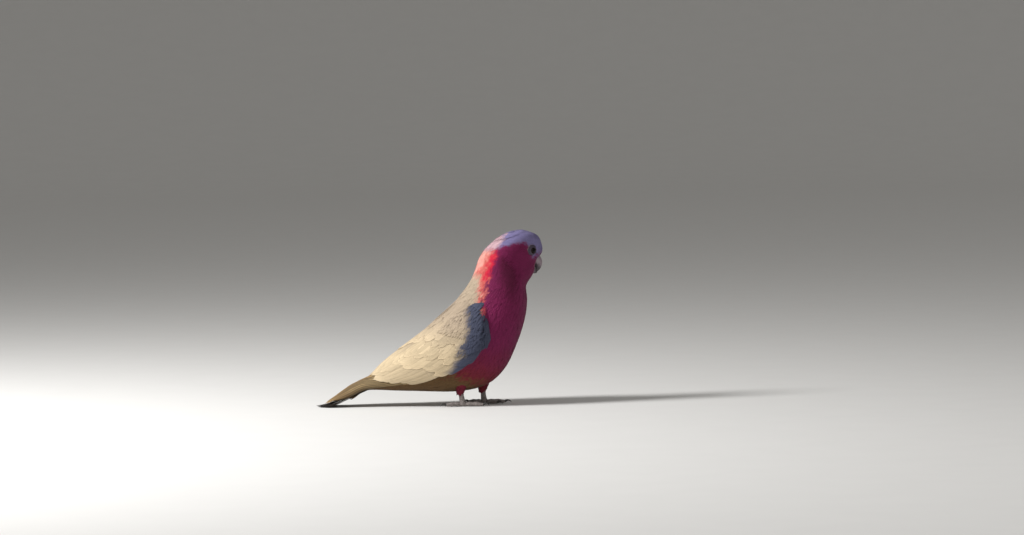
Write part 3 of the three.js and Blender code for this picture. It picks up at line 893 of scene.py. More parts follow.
def feather_material(name, markings, rim=0.1, shaft=0.0, barbs=22.0, mottle=0.08, hidden=0.3, edge=0.0):
    """A feather's finish: its markings in a shade of its own, and down on the hidden share of its root.

    rim is how much paler the tip is, shaft and edge how dark they are, barbs how many there are along
    it, and mottle how far its shade wanders."""
    s = Shader(name, roughness=0.74, specular_ior_level=0.18, sheen_weight=0.05)
    tint = colours()
    across, along = s.vane()
    c = abs(across * 2 - 1)
    _, _, seed = s.place()
    tone = markings(s)
    tone = s.mix(tint.down, tone, along.smooth(0.0, hidden))
    streaks = s.noise(4.0, 3.0, s.node("CombineXYZ", None, across * 4, along * 0.8, seed * 40)) - 0.5
    shade = (1 - mottle) + seed * (2 * mottle) + (s.noise(420.0) - 0.5) * mottle + streaks * mottle * 3
    shade = shade + (s.noise(45.0, 3.0) - 0.5) * mottle * 3
    lit = (along + c * c * 0.1).smooth(0.84, 1.02) * rim
    lines = ((along * barbs - c * barbs * 0.3) * FULL_TURN).sin()
    # Darker towards the root: painted shade where the next feathers lie over it.
    shade = shade + lit + lines * 0.02 - (1 - along).smooth(0.3, 0.9) * 0.12
    tone = s.shade(tone, shade)
    if edge:
        tone = s.mix(tone, tint.claw, across.smooth(0.7, 0.95) * edge)
    if shaft:
        tone = s.mix(tone, tint.claw, (1 - c.smooth(0.02, 0.055)) * shaft)
    s.feed("Base Color", tone)
    s.bump(lines + s.noise(900.0) * 0.6, 0.35, 0.08 * MM)
    return s.material


def skin_material():
    """Skin under the feathers: the same markings, with pores."""
    s = Shader("galah_skin", roughness=0.8, specular_ior_level=0.2)
    s.feed("Base Color", s.mix(body_markings(s), colours().down, 0.35))
    s.bump(s.noise(1500.0), 0.4, 0.2 * MM)
    return s.material


def flight_material(name, near, far, reach, edge=0.1):
    """Long wing and tail feathers: one colour at the root, another past the shares in reach."""

    def markings(s):
        _, along = s.vane()
        streak = s.noise(90.0) * 0.25
        return s.mix(near, far, (along + streak - 0.12).smooth(*reach))

    return feather_material(name, markings, shaft=0.2, barbs=120.0, mottle=0.06, hidden=0.02, edge=edge)


def scale_material(name, low, high):
    """Scaly skin: small plates parted by dark creases."""
    s = Shader(name, roughness=0.6, specular_ior_level=0.35)
    where = s.node("TexCoord", None, output="Object")
    settings = {"feature": "DISTANCE_TO_EDGE"}
    plates = s.node("TexVoronoi", settings, Vector=where, Scale=620.0).smooth(0.02, 0.22)
    grain = s.noise(500.0, 4.0)
    s.feed("Base Color", s.mix(low, s.mix(high, low, grain.smooth(0.35, 0.75)), plates * 0.8 + 0.2))
    s.bump(plates + grain * 0.3, 0.7, 0.25 * MM)
    return s.material


def bare_material(name, low, high, scale, roughness, relief):
    """Bare skin: two shades broken by noise of scale waves per metre, with a fine relief."""
    s = Shader(name)
    grain = s.noise(scale, 4.0)
    s.feed("Base Color", s.mix(low, high, grain.smooth(0.3, 0.7)))
    s.feed("Roughness", roughness - 0.1 + s.noise(scale * 2.3) * 0.2)
    s.bump(s.noise(scale * 3.0, 4.0) + grain, 0.5, relief)
    return s.material


# ---------------------------------------------------------------- skin
SKIN_END = 14.0  # station where the skin ends inside the tail's root
SKIN_VOXEL = 1.3 * MM
THIGH = {"top": 46, "bottom": 15.5, "wide": 13.0, "narrow": 4.4, "set": 5, "coat": 2.4}
THIGH_PLACE = (10, 2.8)  # station and angle of the belly whose markings the thighs take
LEG_SKIN = (-12, 26)  # skin ahead of this x and below this z belongs to the thighs


def thigh_grid(side, reach=1.0, rows=40):
    """Points of a thigh as a grid closed round its columns, inset by the coat's depth."""
    x, y, lean = FEET[side]
    f = np.linspace(0, reach, rows)[:, None]
    radius = lerp(THIGH["wide"], THIGH["narrow"], np.sqrt(f)) - THIGH["coat"] * lerp(1, 0.3, f)
    a = ring_angles(48)
    x = x + lean + THIGH["set"] * (1 - f) + radius * np.cos(a)
    return placed(x, y + radius * np.sin(a), lerp(THIGH["top"], THIGH["bottom"], f))


def add_skin():
    """One closed skin over head, neck, trunk and thighs, with the coat's markings."""
    trunk = tube(skin_point(*skin_grid(300, 180, SKIN_END)))
    points, quads = fused([trunk, *(tube(thigh_grid(side)) for side in SIDES)], SKIN_VOXEL, 3)
    surface = body_surface()
    _, index = surface.nearest(points)
    places = np.stack([surface.station[index], surface.angle[index], np.full(len(index), 0.5)], -1)
    on_leg = (points[:, 0] > ORIGIN_X + LEG_SKIN[0] * MM) & (points[:, 2] < LEG_SKIN[1] * MM)
    places[on_leg, :2] = THIGH_PLACE
    skin = mesh_piece("skin", points, quads, skin_material(), "rose_feathers", places)
    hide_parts("head", "neck", "trunk", "thigh_right", "thigh_left")


# ---------------------------------------------------------------- plumage of head and body
# Each part of the coat: name, slot, stations, angles, rows and columns of a feather's mesh.
COAT_PARTS = (
    ("crown_coat", "crown_feathers", (CROWN_END, 2.25), (0, math.pi), (6, 5)),
    ("face_coat", "rose_feathers", (2.25, 5.2), (1.0, math.pi), (6, 5)),
    ("nape_coat", "rose_feathers", (2.25, 5.2), (0, 1.0), (7, 5)),
    ("neck_coat", "rose_feathers", (5.2, 7.5), (0, math.pi), (7, 5)),
    ("breast_coat", "rose_feathers", (7.5, 9.6), (1.25, math.pi), (7, 5)),
    ("belly_coat", "rose_feathers", (9.6, 12.4), (1.25, math.pi), (7, 5)),
    ("back_coat", "grey_feathers", (7.5, 12.4), (0, 1.25), (7, 5)),
    ("vent_coat", "grey_feathers", (12.4, 14.5), (0, math.pi), (8, 5)),
)
TUCK_DEPTH, TUCK_LENGTH = 0.3 * MM, 0.25  # how much lower and shorter feathers are at the wing's bend


def bulge(x, middle, width):
    """1 in the middle, falling off like a bell."""
    return np.exp(-(((x - middle) / width) ** 2))


def cheek_fold(t, angle):
    """How the coat stands up along the rear edge of the cheek, and sinks behind it."""
    a = np.abs(angle)
    behind = behind_cheek(t, a)
    rise = 0.8 * bulge(behind, -0.45, 0.4) - 0.5 * bulge(behind, 0.3, 0.4)
    return rise * between((0.95, 1.25), (2.1, 2.5), a) * MM


def under_wing(roots, margin=0.16):
    """Whether roots lie where the folded wing hides them."""
    upper, lower = wing_edges(roots[:, 0])
    a = np.abs(roots[:, 1])
    inside = (a > upper + margin) & (a < lower - margin)
    inside = inside & (roots[:, 0] > WING_REACH[0] + 0.2)
    return inside | ((roots[:, 0] > 12.7) & (a < 2.0))


def add_body_plumage():
    """The coat of head and body, part by part, and of the thighs."""
    finish = feather_material("galah_plumage", body_markings)
    c = coat()
    for k, (name, slot, stations, angles, mesh_size) in enumerate(COAT_PARTS):
        roots = scattered(feather_spacing, stations, angles, c.seed + k)
        roots = roots[~bare(skin_point(*roots.T)) & ~under_wing(roots)]
        t, a = roots.T
        gap = feather_spacing(t, a)
        tucked = smooth(6.3, 7.1, t) * between((0.95, 1.15), (1.5, 1.65), np.abs(a))
        # Longer down the body, longest before the vent, and short where the coat ends over the tail.
        longer = 0.2 * smooth(3, 6, t) + 0.75 * smooth(11.4, 13.4, t) - 1.1 * smooth(13.2, 14.4, t)
        lengths = gap * c.overlap * (1 + longer - TUCK_LENGTH * tucked)
        depth = coat_depth(t, a) + cheek_fold(t, a) - TUCK_DEPTH * tucked
        plumage = Plumage(Vane(*mesh_size))
        spots, halves, seed = skin_point(t, a), gap * c.slender, c.seed + 40 + k
        lay(plumage, body_surface(), spots, lengths, halves, depth, roots, seed)
        plumage.piece(name, finish, slot)
    for side, sign in SIDES.items():
        add_thigh_plumage(side, sign, finish)


def add_thigh_plumage(side, sign, finish):
    """Loose feathers down a thigh, shortest at the ankle."""
    c = coat()
    grid = thigh_grid(side, 1.25, 50)
    down = np.broadcast_to((-0.12, 0, -1.0), grid.shape)
    random = np.random.default_rng(c.seed + sign)
    roots = grid[5:-14].reshape(-1, 3)
    roots = roots[random.random(len(roots)) < 0.5]
    lengths = lerp(4.5, 10.0, (roots[:, 2] - 15 * MM) / (30 * MM)) * MM
    lengths = lengths * random.uniform(0.7, 1.3, len(roots))
    places = np.tile(THIGH_PLACE, (len(roots), 1)) * (1, sign)
    depth = lerp(0.2, 2.3, smooth(16 * MM, 32 * MM, roots[:, 2])) * MM
    plumage = Plumage(Vane(7, 5))
    lay(plumage, Surface(grid, down), roots, lengths, lengths * 0.25, depth, places, c.seed)
    plumage.piece("thigh_coat_" + side, finish, "rose_feathers")


# ---------------------------------------------------------------- wings
class WingRow(NamedTuple):
    """A row of large feathers on a folded wing."""

    name: str
    count: int
    roots: tuple  # (station, degrees from the middle of the back), from the innermost to the lowest
    tips: tuple
    half: float  # half a feather's width, in millimetres
    heights: tuple  # at root and tip, as shares of the wing's thickness
    sunk: float  # how much lower the last feather lies than the first, in millimetres
    tuck: float  # height of the innermost feathers, as a share of the others'
    finish: str
    mesh_size: tuple  # rows and columns of a feather's mesh


WING_ROWS = (
    WingRow(
        "primaries", 10, ((10.0, 58), (10.6, 74), (11.2, 86)),
        ((14.4, 6), (16.3, 11), (16.8, 32), (16.5, 68), (15.7, 107)),
        6.8, (0.1, 0.42), 1.3, 1, "flight", (26, 9),
    ),
    WingRow(
        "secondaries", 9, ((9.2, 34), (9.3, 64), (10.0, 88)), ((13.3, 15), (13.2, 50), (12.55, 86)),
        8.4, (0.58, 0.70), 0.5, 1, "inner", (22, 9),
    ),
    WingRow(
        "tertials", 5, ((8.8, 9), (8.9, 24), (9.1, 42)), ((13.3, 5), (13.0, 16), (12.4, 34)),
        9.0, (0.0, 0.75), 0, 1, "inner", (20, 9),
    ),
    WingRow(
        "greater coverts", 16, ((8.9, 26), (8.9, 58), (9.3, 105)), ((11.5, 16), (11.6, 54), (11.1, 98)),
        6.4, (0.6, 0.785), 0.3, 0.45, "covert", (16, 7),
    ),
    WingRow(
        "median coverts", 20, ((8.3, 32), (8.3, 62), (8.6, 105)), ((10.6, 16), (10.6, 60), (10.3, 106)),
        5.2, (0.62, 0.84), 0.2, 0.45, "covert", (14, 7),
    ),
    WingRow(
        "hindmost lesser coverts", 19,
        ((7.9, 40), (7.9, 62), (8.2, 95)), ((9.7, 20), (9.7, 60), (9.5, 107)),
        4.4, (0.5, 0.895), 0.1, 0.45, "covert", (12, 7),
    ),
    WingRow(
        "scapulars", 15, ((7.0, 2), (7.0, 24), (7.2, 52)), ((10.5, 2), (10.0, 18), (8.8, 48)),
        6.2, (-0.9, 0.74), 0.35, 1, "covert", (16, 7),
    ),
    WingRow(
        "upper scapulars", 15, ((6.7, 3), (6.7, 24), (6.9, 50)), ((8.9, 4), (9.0, 20), (8.2, 48)),
        4.4, (-1.15, 0.64), 0.2, 1, "covert", (14, 7),
    ),
)
FULLEST = {"flight": 0.7, "inner": 0.8, "covert": 0.8}  # where a feather is widest, by finish
TIP_SCATTER = {"flight": 0.12, "inner": 0.12, "covert": 0.22}  # spread of the tips, in stations
TIP_SWAY = 0.8  # the same across the wing, in degrees
ROOT_SCATTER = 0.16  # in stations
TUCK_REACH = 0.3  # share of a row over which the feathers rise from the tucked height
HEIGHT_SPREAD = 0.04  # of the feathers in a row, in millimetres
MARKING_RUN = 0.8  # how far markings run on across the feathers, 0 for one colour a feather, 1 for all
WING_DROOP, DROOP_REACH = 4.2 * MM, (14.2, 16.9)  # how far and where the wing tips sink to the tail


def wing_droop(t):
    """How far the tips of the long feathers sink towards the tail."""
    return WING_DROOP * smooth(*DROOP_REACH, t)


def spread(pairs, share):
    """Pairs of numbers at shares of the way along a list of pairs."""
    at = np.linspace(0, 1, len(pairs))
    return np.stack([np.interp(share, at, column) for column in zip(*pairs)], -1)


def steps_along(move, by_t, by_a):
    """Steps of station and angle that make a move, from how a point moves with each."""
    e, f, g = ((x * y).sum(-1)[..., None] for x, y in ((by_t, by_t), (by_t, by_a), (by_a, by_a)))
    area = e * g - f * f
    on_t, on_a = (move * by_t[:, :, None]).sum(-1), (move * by_a[:, :, None]).sum(-1)
    return (g * on_t - f * on_a) / area, (e * on_a - f * on_t) / area


def row_of_feathers(plumage, row, sign, seed):
    """Upper sides, normals and places of a row that follows the wing, each lower edge over the next."""
    random = np.random.default_rng(seed)
    v = plumage.vane
    k = np.linspace(0, 1, row.count)
    start, end = spread(row.roots, k), spread(row.tips, k)
    end = end + random.normal(0, 1, end.shape) * (TIP_SCATTER[row.finish], TIP_SWAY)
    start = start + random.normal(0, 1, start.shape) * (ROOT_SCATTER, 0)
    start, end = start[:, None], end[:, None]
    # The middle line of each feather, and how the surface runs along it.
    line = lerp(start, end, v.along[None, :, None])
    t, a = line[..., 0], np.radians(line[..., 1]) * sign
    share = lerp(*row.heights, 1 - (1 - v.along) ** 2)[None]
    share = share * lerp(row.tuck, 1, smooth(0, TUCK_REACH, k))[:, None]
    height = WING_LIFT + wing_thickness(t) * share - wing_droop(t)
    step = 1e-3
    p = raised_point(t, a, height)
    by_t = (raised_point(t + step, a, height) - p) / step
    by_a = (raised_point(t, a + step, height) - p) / step
    normal = unit(np.cross(by_a, by_t))
    ahead = unit(np.gradient(p, axis=1))
    side = unit(np.cross(normal, ahead))
    # The feather's width, as steps of station and angle, so that it bends with the wing.
    half = row.half * MM
    across = v.across[None, None, :, None]
    wide = (half * v.width)[None, :, None, None] * across
    back = (half * 0.6 * v.along**4)[None, :, None, None] * across**2
    dt, da = steps_along(side[:, :, None] * wide - ahead[:, :, None] * back, by_t, by_a)
    plumage.hand = np.sign((side * by_a).sum(-1).mean() * sign)
    t, a = t[..., None] + dt, a[..., None] + da
    slant = (0.02 + 0.02 * row.half) * MM * (1 - v.along**5)[None, :, None]
    tilt = v.across[None, None] * plumage.hand * slant
    height = WING_LIFT + wing_thickness(t) * share[..., None] + tilt - wing_droop(t)
    height = height + random.uniform(-HEIGHT_SPREAD, HEIGHT_SPREAD, (row.count, 1, 1)) * MM
    top = raised_point(t, a, height - (k * row.sunk)[:, None, None] * MM)
    middle = lerp(start, end, 0.6)
    station = lerp(middle[..., :1], t, MARKING_RUN)
    angle = lerp(np.radians(middle[..., 1:]) * sign, a, MARKING_RUN)
    own = np.broadcast_to(random.random(row.count)[:, None, None], t.shape)
    return top, normal, np.stack([station, angle, own], -1).reshape(row.count, -1, 3)


def atlas(count):
    """Centres of a grid of cells on a map, one for each long feather, and the size of a cell."""
    across = math.ceil(math.sqrt(count * 2.5))  # a cell is taller than wide, as a feather is
    down = math.ceil(count / across)
    k = np.arange(count)
    centres = np.stack([(k % across + 0.5) / across, (k // across + 0.5) / down], -1)
    return centres, (0.9 / across, 0.9 / down)


def add_wings():
    """Both folded wings, row by row, each row a piece, and the small feathers over their roots."""
    tint = colours()
    finishes = {
        # Long wing feathers in painted warm sunlight; inner wing feathers in the sunlit greys of the
        # back.
        "flight": flight_material("galah_flight", tint.sunlit_primary, tint.flight, (0.5, 0.85), 0.75),
        "inner": flight_material("galah_inner_wing", tint.sunlit_mantle, tint.sunlit_rump, (0.0, 0.6), 0.12),
        "covert": feather_material(
            "galah_coverts", wing_markings, rim=0.14, shaft=0.2, barbs=70.0, mottle=0.11, hidden=0.002
        ),
    }
    for side, sign in SIDES.items():
        for k, row in enumerate(WING_ROWS):
            vane = Vane(*row.mesh_size, tip=0.14, root=0.25, fullest=FULLEST[row.finish], blunt=2.2)
            plumage = Plumage(vane)
            top, normal, places = row_of_feathers(plumage, row, sign, coat().seed + k)
            centres, cell = atlas(row.count)
            plumage.add_grids(top, normal, VANE_THICK, places, centres)
            name = f"{row.name.replace(' ', '_')}_{side}"
            piece = plumage.piece(name, finishes[row.finish], "grey_feathers", cell)
            if row is WING_ROWS[0]:
                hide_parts("wing_" + side)
        add_lesser_coverts(side, sign, finishes["covert"])


# Small feathers of the shoulder and forewing.
LESSER_SPACING = 2.2 * MM
LESSER_LIFT = 0.26  # how far they stand above the coat, as a share of the wing's thickness
LESSER_END = 10.2  # the last station of their roots


def add_lesser_coverts(side, sign, finish):
    """Small feathers of the shoulder and forewing, over the roots of the coverts."""
    c = coat()
    stations = (WING_REACH[0] - 0.1, LESSER_END)
    roots = scattered(evenly(LESSER_SPACING), stations, (0, math.pi), c.seed + 90)
    t, a = roots.T
    g = across_wing(np.maximum(t, WING_REACH[0]), a)
    low_edge = (g > 0.7) & (t < 8.85 + (1 - g) * 2.6)
    front = 1.04 - 0.3 * (1 - smooth(7.2, 8.0, t))
    inside = (g > -0.35) & (g < front) & ((t < 8.7) | low_edge)
    roots = roots[inside & (np.sign(a) == sign)]
    t, a = roots.T
    raised = arm_height(t, a, COVERT_EDGE) - arm_height(t, a)
    depth = coat_depth(t, a) + wing_thickness(t) * LESSER_LIFT + raised * 0.5 * smooth(7.6, 8.4, t)
    ones = np.ones(len(t)) * LESSER_SPACING
    lengths, halves = ones * c.overlap, ones * c.slender
    plumage = Plumage(Vane(8, 5))
    lay(plumage, body_surface(), skin_point(t, a), lengths, halves, depth, roots, c.seed + 91)
    plumage.piece("lesser_coverts_" + side, finish, "grey_feathers")


# ---------------------------------------------------------------- tail
# Half width, thickness and how far the middle is raised, at the root and at the end.
TAIL_HALF, TAIL_THICK, TAIL_CROWN = (17, 23.5), (6.2, 2.8), (3.6, 1.1)
TAIL_SUNK = 1.3  # how far the whole fan is lowered
TAIL_SWELL = 3.6  # how far its upper feathers rise to meet the wing tips
TAIL_FEATHERS = 12
TAIL_HALF_FEATHER = 8.6


def tail_point(x, y, level):
    """Point in the tail, x and y in millimetres of the measuring origin; level 0 below, 1 above."""
    f = np.clip((x * MM - TAIL_ROOT) / (-TAIL_TIP - TAIL_ROOT), 0, 1)
    d = x - TAIL_LIE / MM
    ease = TAIL_EASE / MM
    bend = TAIL_RISE * (d + ease) ** 2 / (4 * ease)
    rise = np.where(np.abs(d) < ease, bend, np.maximum(0, d) * TAIL_RISE)
    s = np.sqrt(np.clip(1 - (y / lerp(*TAIL_HALF, f)) ** 2, 0, 1))
    thick = lerp(*TAIL_THICK, f) / 2
    z = rise + lerp(*TAIL_CROWN, f) * s**2 + thick * (1 + (2 * level - 1) * s) - TAIL_SUNK
    z = z + TAIL_SWELL * between((-163, -138), (-112, -90), x) * np.clip(level, 0, 1)
    return placed(x, y, np.maximum(z, 0.12 + 0.3 * level))


def add_tail():
    """Twelve feathers closed into one fan, the middle pair on top."""
    tint = colours()
    finish = flight_material("galah_tail", tint.tail, tint.claw, (0.5, 1.0))
    random = np.random.default_rng(coat().seed)
    vane = Vane(28, 9, tip=0.15, root=0.3, fullest=0.8, blunt=2.2)
    plumage = Plumage(vane)
    k = np.arange(TAIL_FEATHERS)
    sign = np.where(k % 2, 1, -1)[:, None, None]
    rank = (k // 2)[:, None, None]  # 0 in the middle, on top
    s, c = vane.along[None, :, None], vane.across[None, None]
    x = lerp(TAIL_ROOT / MM + 3, -163.6 + rank * 1.3, s) + TAIL_HALF_FEATHER * 0.75 * s**4 * c**2
    wide = TAIL_HALF_FEATHER * vane.width[None, :, None] * c
    y = lerp(sign * (1.5 + rank * 1.3), sign * (1.6 + rank * 2.3), s) + wide
    level = (0.95 - rank * 0.16) * (1 - 0.45 * s**2) + sign * c * 0.04
    top = tail_point(x, y, level + random.uniform(-0.02, 0.02, (len(k), 1, 1)))
    normal = np.zeros((len(k), len(vane.along), 3)) + unit(np.array((0.3, 0, 1)))
    centres, cell = atlas(len(k))
    places = np.column_stack([np.full(len(k), 15.0), sign.ravel() * 0.2, random.random(len(k))])
    plumage.add_grids(top, normal, TAIL_VANE_THICK, places, centres)
    tail = plumage.piece("tail_feathers", finish, "tail_feathers", cell)
    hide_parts("tail")


# ---------------------------------------------------------------- crest
CREST_SPACING = 1.9 * MM
CREST_LENGTH = (13.0, 10.0)  # on the forehead and at the rear of the crown
CREST_RAISED = (0.35, 0.9)  # how far above the coat, in front and behind
CREST_SPREAD = (0.85, 1.2)  # of both, from the least to the most


def add_crest():
    """Long narrow feathers laid flat from the forehead back over the crown."""
    c = coat()
    finish = feather_material("galah_crest", body_markings, shaft=0.15, barbs=60.0)
    roots = scattered(evenly(CREST_SPACING), (-0.9, 1.6), (0, math.pi), c.seed + 20)
    t, a = roots.T
    roots = roots[t < 1.0 + 0.45 * np.cos(a)]
    t, a = roots.T
    random = np.random.default_rng(c.seed + 21)
    lengths = lerp(*CREST_LENGTH, smooth(0, 1.5, t)) * random.uniform(*CREST_SPREAD, len(t)) * MM
    raised = lerp(*CREST_RAISED, smooth(-1, 1, np.cos(a))) * random.uniform(*CREST_SPREAD, len(t)) * MM
    depth = coat_depth(t, a) + raised
    plumage = Plumage(Vane(10, 5))
    lay(plumage, body_surface(), skin_point(t, a), lengths, lengths * 0.125, depth, roots, c.seed)
    crest = plumage.piece("crest_feathers", finish, "crown_feathers")
    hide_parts("crest")


# ---------------------------------------------------------------- bill
BILL_COLUMNS = 40  # points in each ring of the bill
BILL_HALF = (7.4, 0.6)  # half its width at the root and at the tip
BILL_INNER = (0.8, BILL_RADIUS - 1)  # radius of its underside, at the root and at the tip
BILL_RIDGE = 0.035  # how far the ridge stands out, as a share of the depth
LOWER_BILL = {"from": (87, 161.2), "to": (100.2, 155.2), "half": 5.4, "below": 5.2, "above": 8.6}
CERE = {"grow": 0.55, "first": -0.08, "last": 0.1}  # a band round the root of the upper bill


def bill_rings(grow, first, last, steps):
    """Rings of the upper bill between two shares of its sweep, grown outward by millimetres."""
    f = np.linspace(first, last, steps)[:, None]
    c = ring_angles(BILL_COLUMNS)[None]
    share = np.clip(f, 0, 1)
    a = lerp(*BILL_SWEEP, f)
    inner = lerp(*BILL_INNER, share**3.8)
    deep = (BILL_RADIUS - inner) / 2 + grow
    half = BILL_HALF[0] * (1 - share**1.6) + BILL_HALF[1] * share + grow
    upper = np.maximum(np.cos(c), 0)
    r = (BILL_RADIUS + inner) / 2 + deep * np.cos(c) * (1 + BILL_RIDGE * upper**6)
    y = half * np.sin(c) * (1 - 0.1 * upper)
    return turned(placed(BILL_CENTRE[0] + r * np.cos(a), y, BILL_CENTRE[1] + r * np.sin(a)))


def horn_material(name, base, tip, coat_weight):
    """Horn: fine lines along the growth, flakes, and darker towards the end, which on the bill is
    painted shade.
    """
    constants = {"specular_ior_level": 0.45, "coat_weight": coat_weight, "coat_roughness": 0.3}
    s = Shader(name, **constants)
    f, across, _ = s.place()
    grain = s.noise(260.0, 5.0)
    # Darker towards the end: painted shade on the bill, and the claws' darker points.
    tone = s.mix(base, tip, (f + (grain - 0.5) * 0.4).smooth(0.4, 0.9))
    flakes = s.noise(700.0, 5.0).smooth(0.5, 0.75)
    growth = s.noise(5.0, 3.0, s.node("CombineXYZ", None, f * 9, across * 0.4, 0.0))
    s.feed("Base Color", s.shade(tone, 0.78 + grain * 0.16 + flakes * 0.16 + growth * 0.24))
    s.feed("Roughness", 0.34 + grain * 0.22)
    s.bump(flakes + s.noise(1500.0, 4.0) * 0.5, 0.6, 0.12 * MM)
    return s.material


def add_bill():
    """The upper bill along its arc, the cup of the lower bill, and the cere."""
    tint = colours()
    finish = horn_material("galah_bill", tint.shaded_horn, tint.bill_tip, 0.15)
    f = np.linspace(0, 1, 72)[:, None]
    place = share_place(f, np.sin(np.linspace(0, math.pi, BILL_COLUMNS))[None])
    upper = mesh_piece("upper_bill", *tube(bill_rings(0, 0, 1, len(f))), finish, "bill_horn", place)
    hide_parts("bill_upper")
    f = np.linspace(0, 1, 40)[:, None]
    c = ring_angles(BILL_COLUMNS)[None]
    size = np.sqrt(1 - 0.97 * f**2.2)
    (x0, z0), (x1, z1) = LOWER_BILL["from"], LOWER_BILL["to"]
    deep = np.where(np.cos(c) > 0, LOWER_BILL["above"], LOWER_BILL["below"])
    z = lerp(z0, z1, f) + deep * size * np.cos(c)
    rings = turned(placed(lerp(x0, x1, f) + size * np.cos(c), LOWER_BILL["half"] * size * np.sin(c), z))
    place = share_place(f, 0 * c)
    lower = mesh_piece("lower_bill", *tube(rings), finish, "bill_horn", place)
    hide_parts("bill_lower")
    finish = bare_material("galah_cere", tint.shaded_horn, tint.ring, 420.0, 0.6, 0.12 * MM)
    mesh_piece("cere", *tube(bill_rings(**CERE, steps=10)), finish, "bill_horn")


# ---------------------------------------------------------------- eyes
EYE_OPENING = 3.65  # radius of the opening between the lids, in millimetres
LID_RIM, RING_RIM = 0.35, 0.45  # how far the lid stands off the eyeball, and the ring off the skin
RING_THICK = 0.5
WRINKLE = 0.2


def eye_material():
    """Dark brown iris with paler flecks round a black pupil, by the distance from the middle."""
    tint = colours()
    s = Shader("galah_eye", roughness=0.05, specular_ior_level=0.12)
    out, _, _ = s.place()
    tone = s.mix(tint.pupil, tint.iris, out.smooth(0.40, 0.46))
    streaks = s.noise(1900.0, 4.0)
    tone = s.mix(tone, tint.fleck, out.smooth(0.42, 0.6) * streaks.smooth(0.45, 0.75) * 0.6)
    s.feed("Base Color", s.mix(tone, tint.eye_rim, out.smooth(0.66, 0.74)))
    return s.material


def add_eyes():
    """The eyeballs and the bare rings round them."""
    tint = colours()
    finish = eye_material()
    # The ring's skin in painted shade.
    skin = bare_material("galah_eye_ring", tint.ring, tint.crease_shade, 700.0, 0.62, 0.2 * MM)
    for side, (centre, axis, up, across) in eye_frames().items():
        a = ring_angles(48)[None, :, None]
        b = np.linspace(1e-3, math.pi - 1e-3, 40)[:, None, None]
        ways = (across * np.cos(a) + up * np.sin(a)) * np.sin(b) + axis * np.cos(b)
        out = np.sin(b) + 2 * (b > math.pi / 2)  # the hidden half is all outside the iris
        place = share_place(out, 0 * a)
        ball = mesh_piece("eyeball_" + side, *tube(centre + ways * EYE_RADIUS), finish, "eye", place)
        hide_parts("eye_" + side)
        add_eye_ring(side, centre, axis, up, across, skin)


def add_eye_ring(side, centre, axis, up, across, finish):
    """Wrinkled bare skin round the eye, from the lid on the eyeball out under the feathers."""
    a = ring_angles(120)[None]
    share = np.linspace(0, 1, 26)[:, None]
    opening = EYE_OPENING + 0.12 * np.cos(2 * a)
    r = lerp(opening, EYE_RING / MM * 1.04, share)
    flat = centre + (across * np.cos(a)[..., None] + up * np.sin(a)[..., None]) * r[..., None] * MM
    spots, _ = body_surface().nearest(flat.reshape(-1, 3))
    skin_height = ((spots.reshape(flat.shape) - centre) @ axis) / MM
    lid = np.sqrt((EYE_RADIUS / MM) ** 2 - opening**2) + LID_RIM
    ring = skin_height + RING_RIM - 0.5 * smooth(0.7, 1, share)
    height = lerp(lid, ring, smooth(0.0, 0.55, share)) + 0.28 * bulge(share, 0.05, 0.06)
    wrinkle = np.array([
        [noise.noise((q * 9.0, math.cos(p) * 2.2, math.sin(p) * 2.2)) for p in a[0]]
        for q in share[:, 0]
    ])
    height = height + WRINKLE * np.sin(share * 30 + wrinkle * 5) * smooth(0.08, 0.25, share)
    under = np.maximum(height - RING_THICK, 0)[::-1]
    rows = np.concatenate([flat, flat[::-1]]) + axis * np.concatenate([height, under])[..., None] * MM
    quads = grid_quads(len(rows) + 1, a.size, closed=True) % (rows.size // 3)
    mesh_piece("eye_ring_" + side, rows.reshape(-1, 3), quads, finish, "foot_scales")


# ---------------------------------------------------------------- feet and claws
LEG_TOP, LEG_RADIUS = 22.5, 3.3
SOLE = {"radius": 4.2, "middle": 3.6, "half": 4.1}  # the ball of the foot, where toes and leg meet
CLAW_CURVE, CLAW_ARCH, CLAW_RADIUS = math.radians(62), 2.2, 1.6


def toe_line(side, heading, thick, along, rise):
    """Points of a toe or claw, along millimetres out from the foot's middle and raised by rise."""
    x, y, _ = FEET[side]
    a = math.radians(heading) * SIDES[side]
    out_x, out_y = math.cos(a) * along, math.sin(a) * along
    return np.stack([x + ORIGIN_X / MM + out_x, y + out_y, thick * TOE_HEIGHT + rise], -1)


def on_floor(points):
    """Points in the frame's metres from millimetres, none below the floor."""
    return np.maximum(points, (-np.inf, -np.inf, 0)) * MM


def scutes(count, depth):
    """Shape of a ring with plates across its upper half and pads below."""

    def shape(row, a):
        plates = np.abs((row / count) % 1 - 0.5) * 2
        return 1 - depth * (plates > 0.8) * np.clip(np.sin(a) + 0.35, 0, 1) + 0.02 * np.cos(5 * a)

    return shape


def toe(side, heading, reach, thick):
    """A toe: three pads along it, narrowing to the claw."""
    f = np.sin(np.linspace(0, math.pi / 2, 72))  # closer together towards the end
    path = toe_line(side, heading, thick, f * (reach + TOE_REACH), 0.9 * np.sin(math.pi * f))
    end = np.sqrt(np.clip(1 - np.clip((f - 0.8) / 0.2, 0, 1) ** 2.4, 0.03, 1))
    pads = 1 + 0.1 * np.cos(3 * FULL_TURN * f)
    return round_tube(path, thick * (1 - 0.22 * f) * pads * end, 28, shape=scutes(6, 0.08))


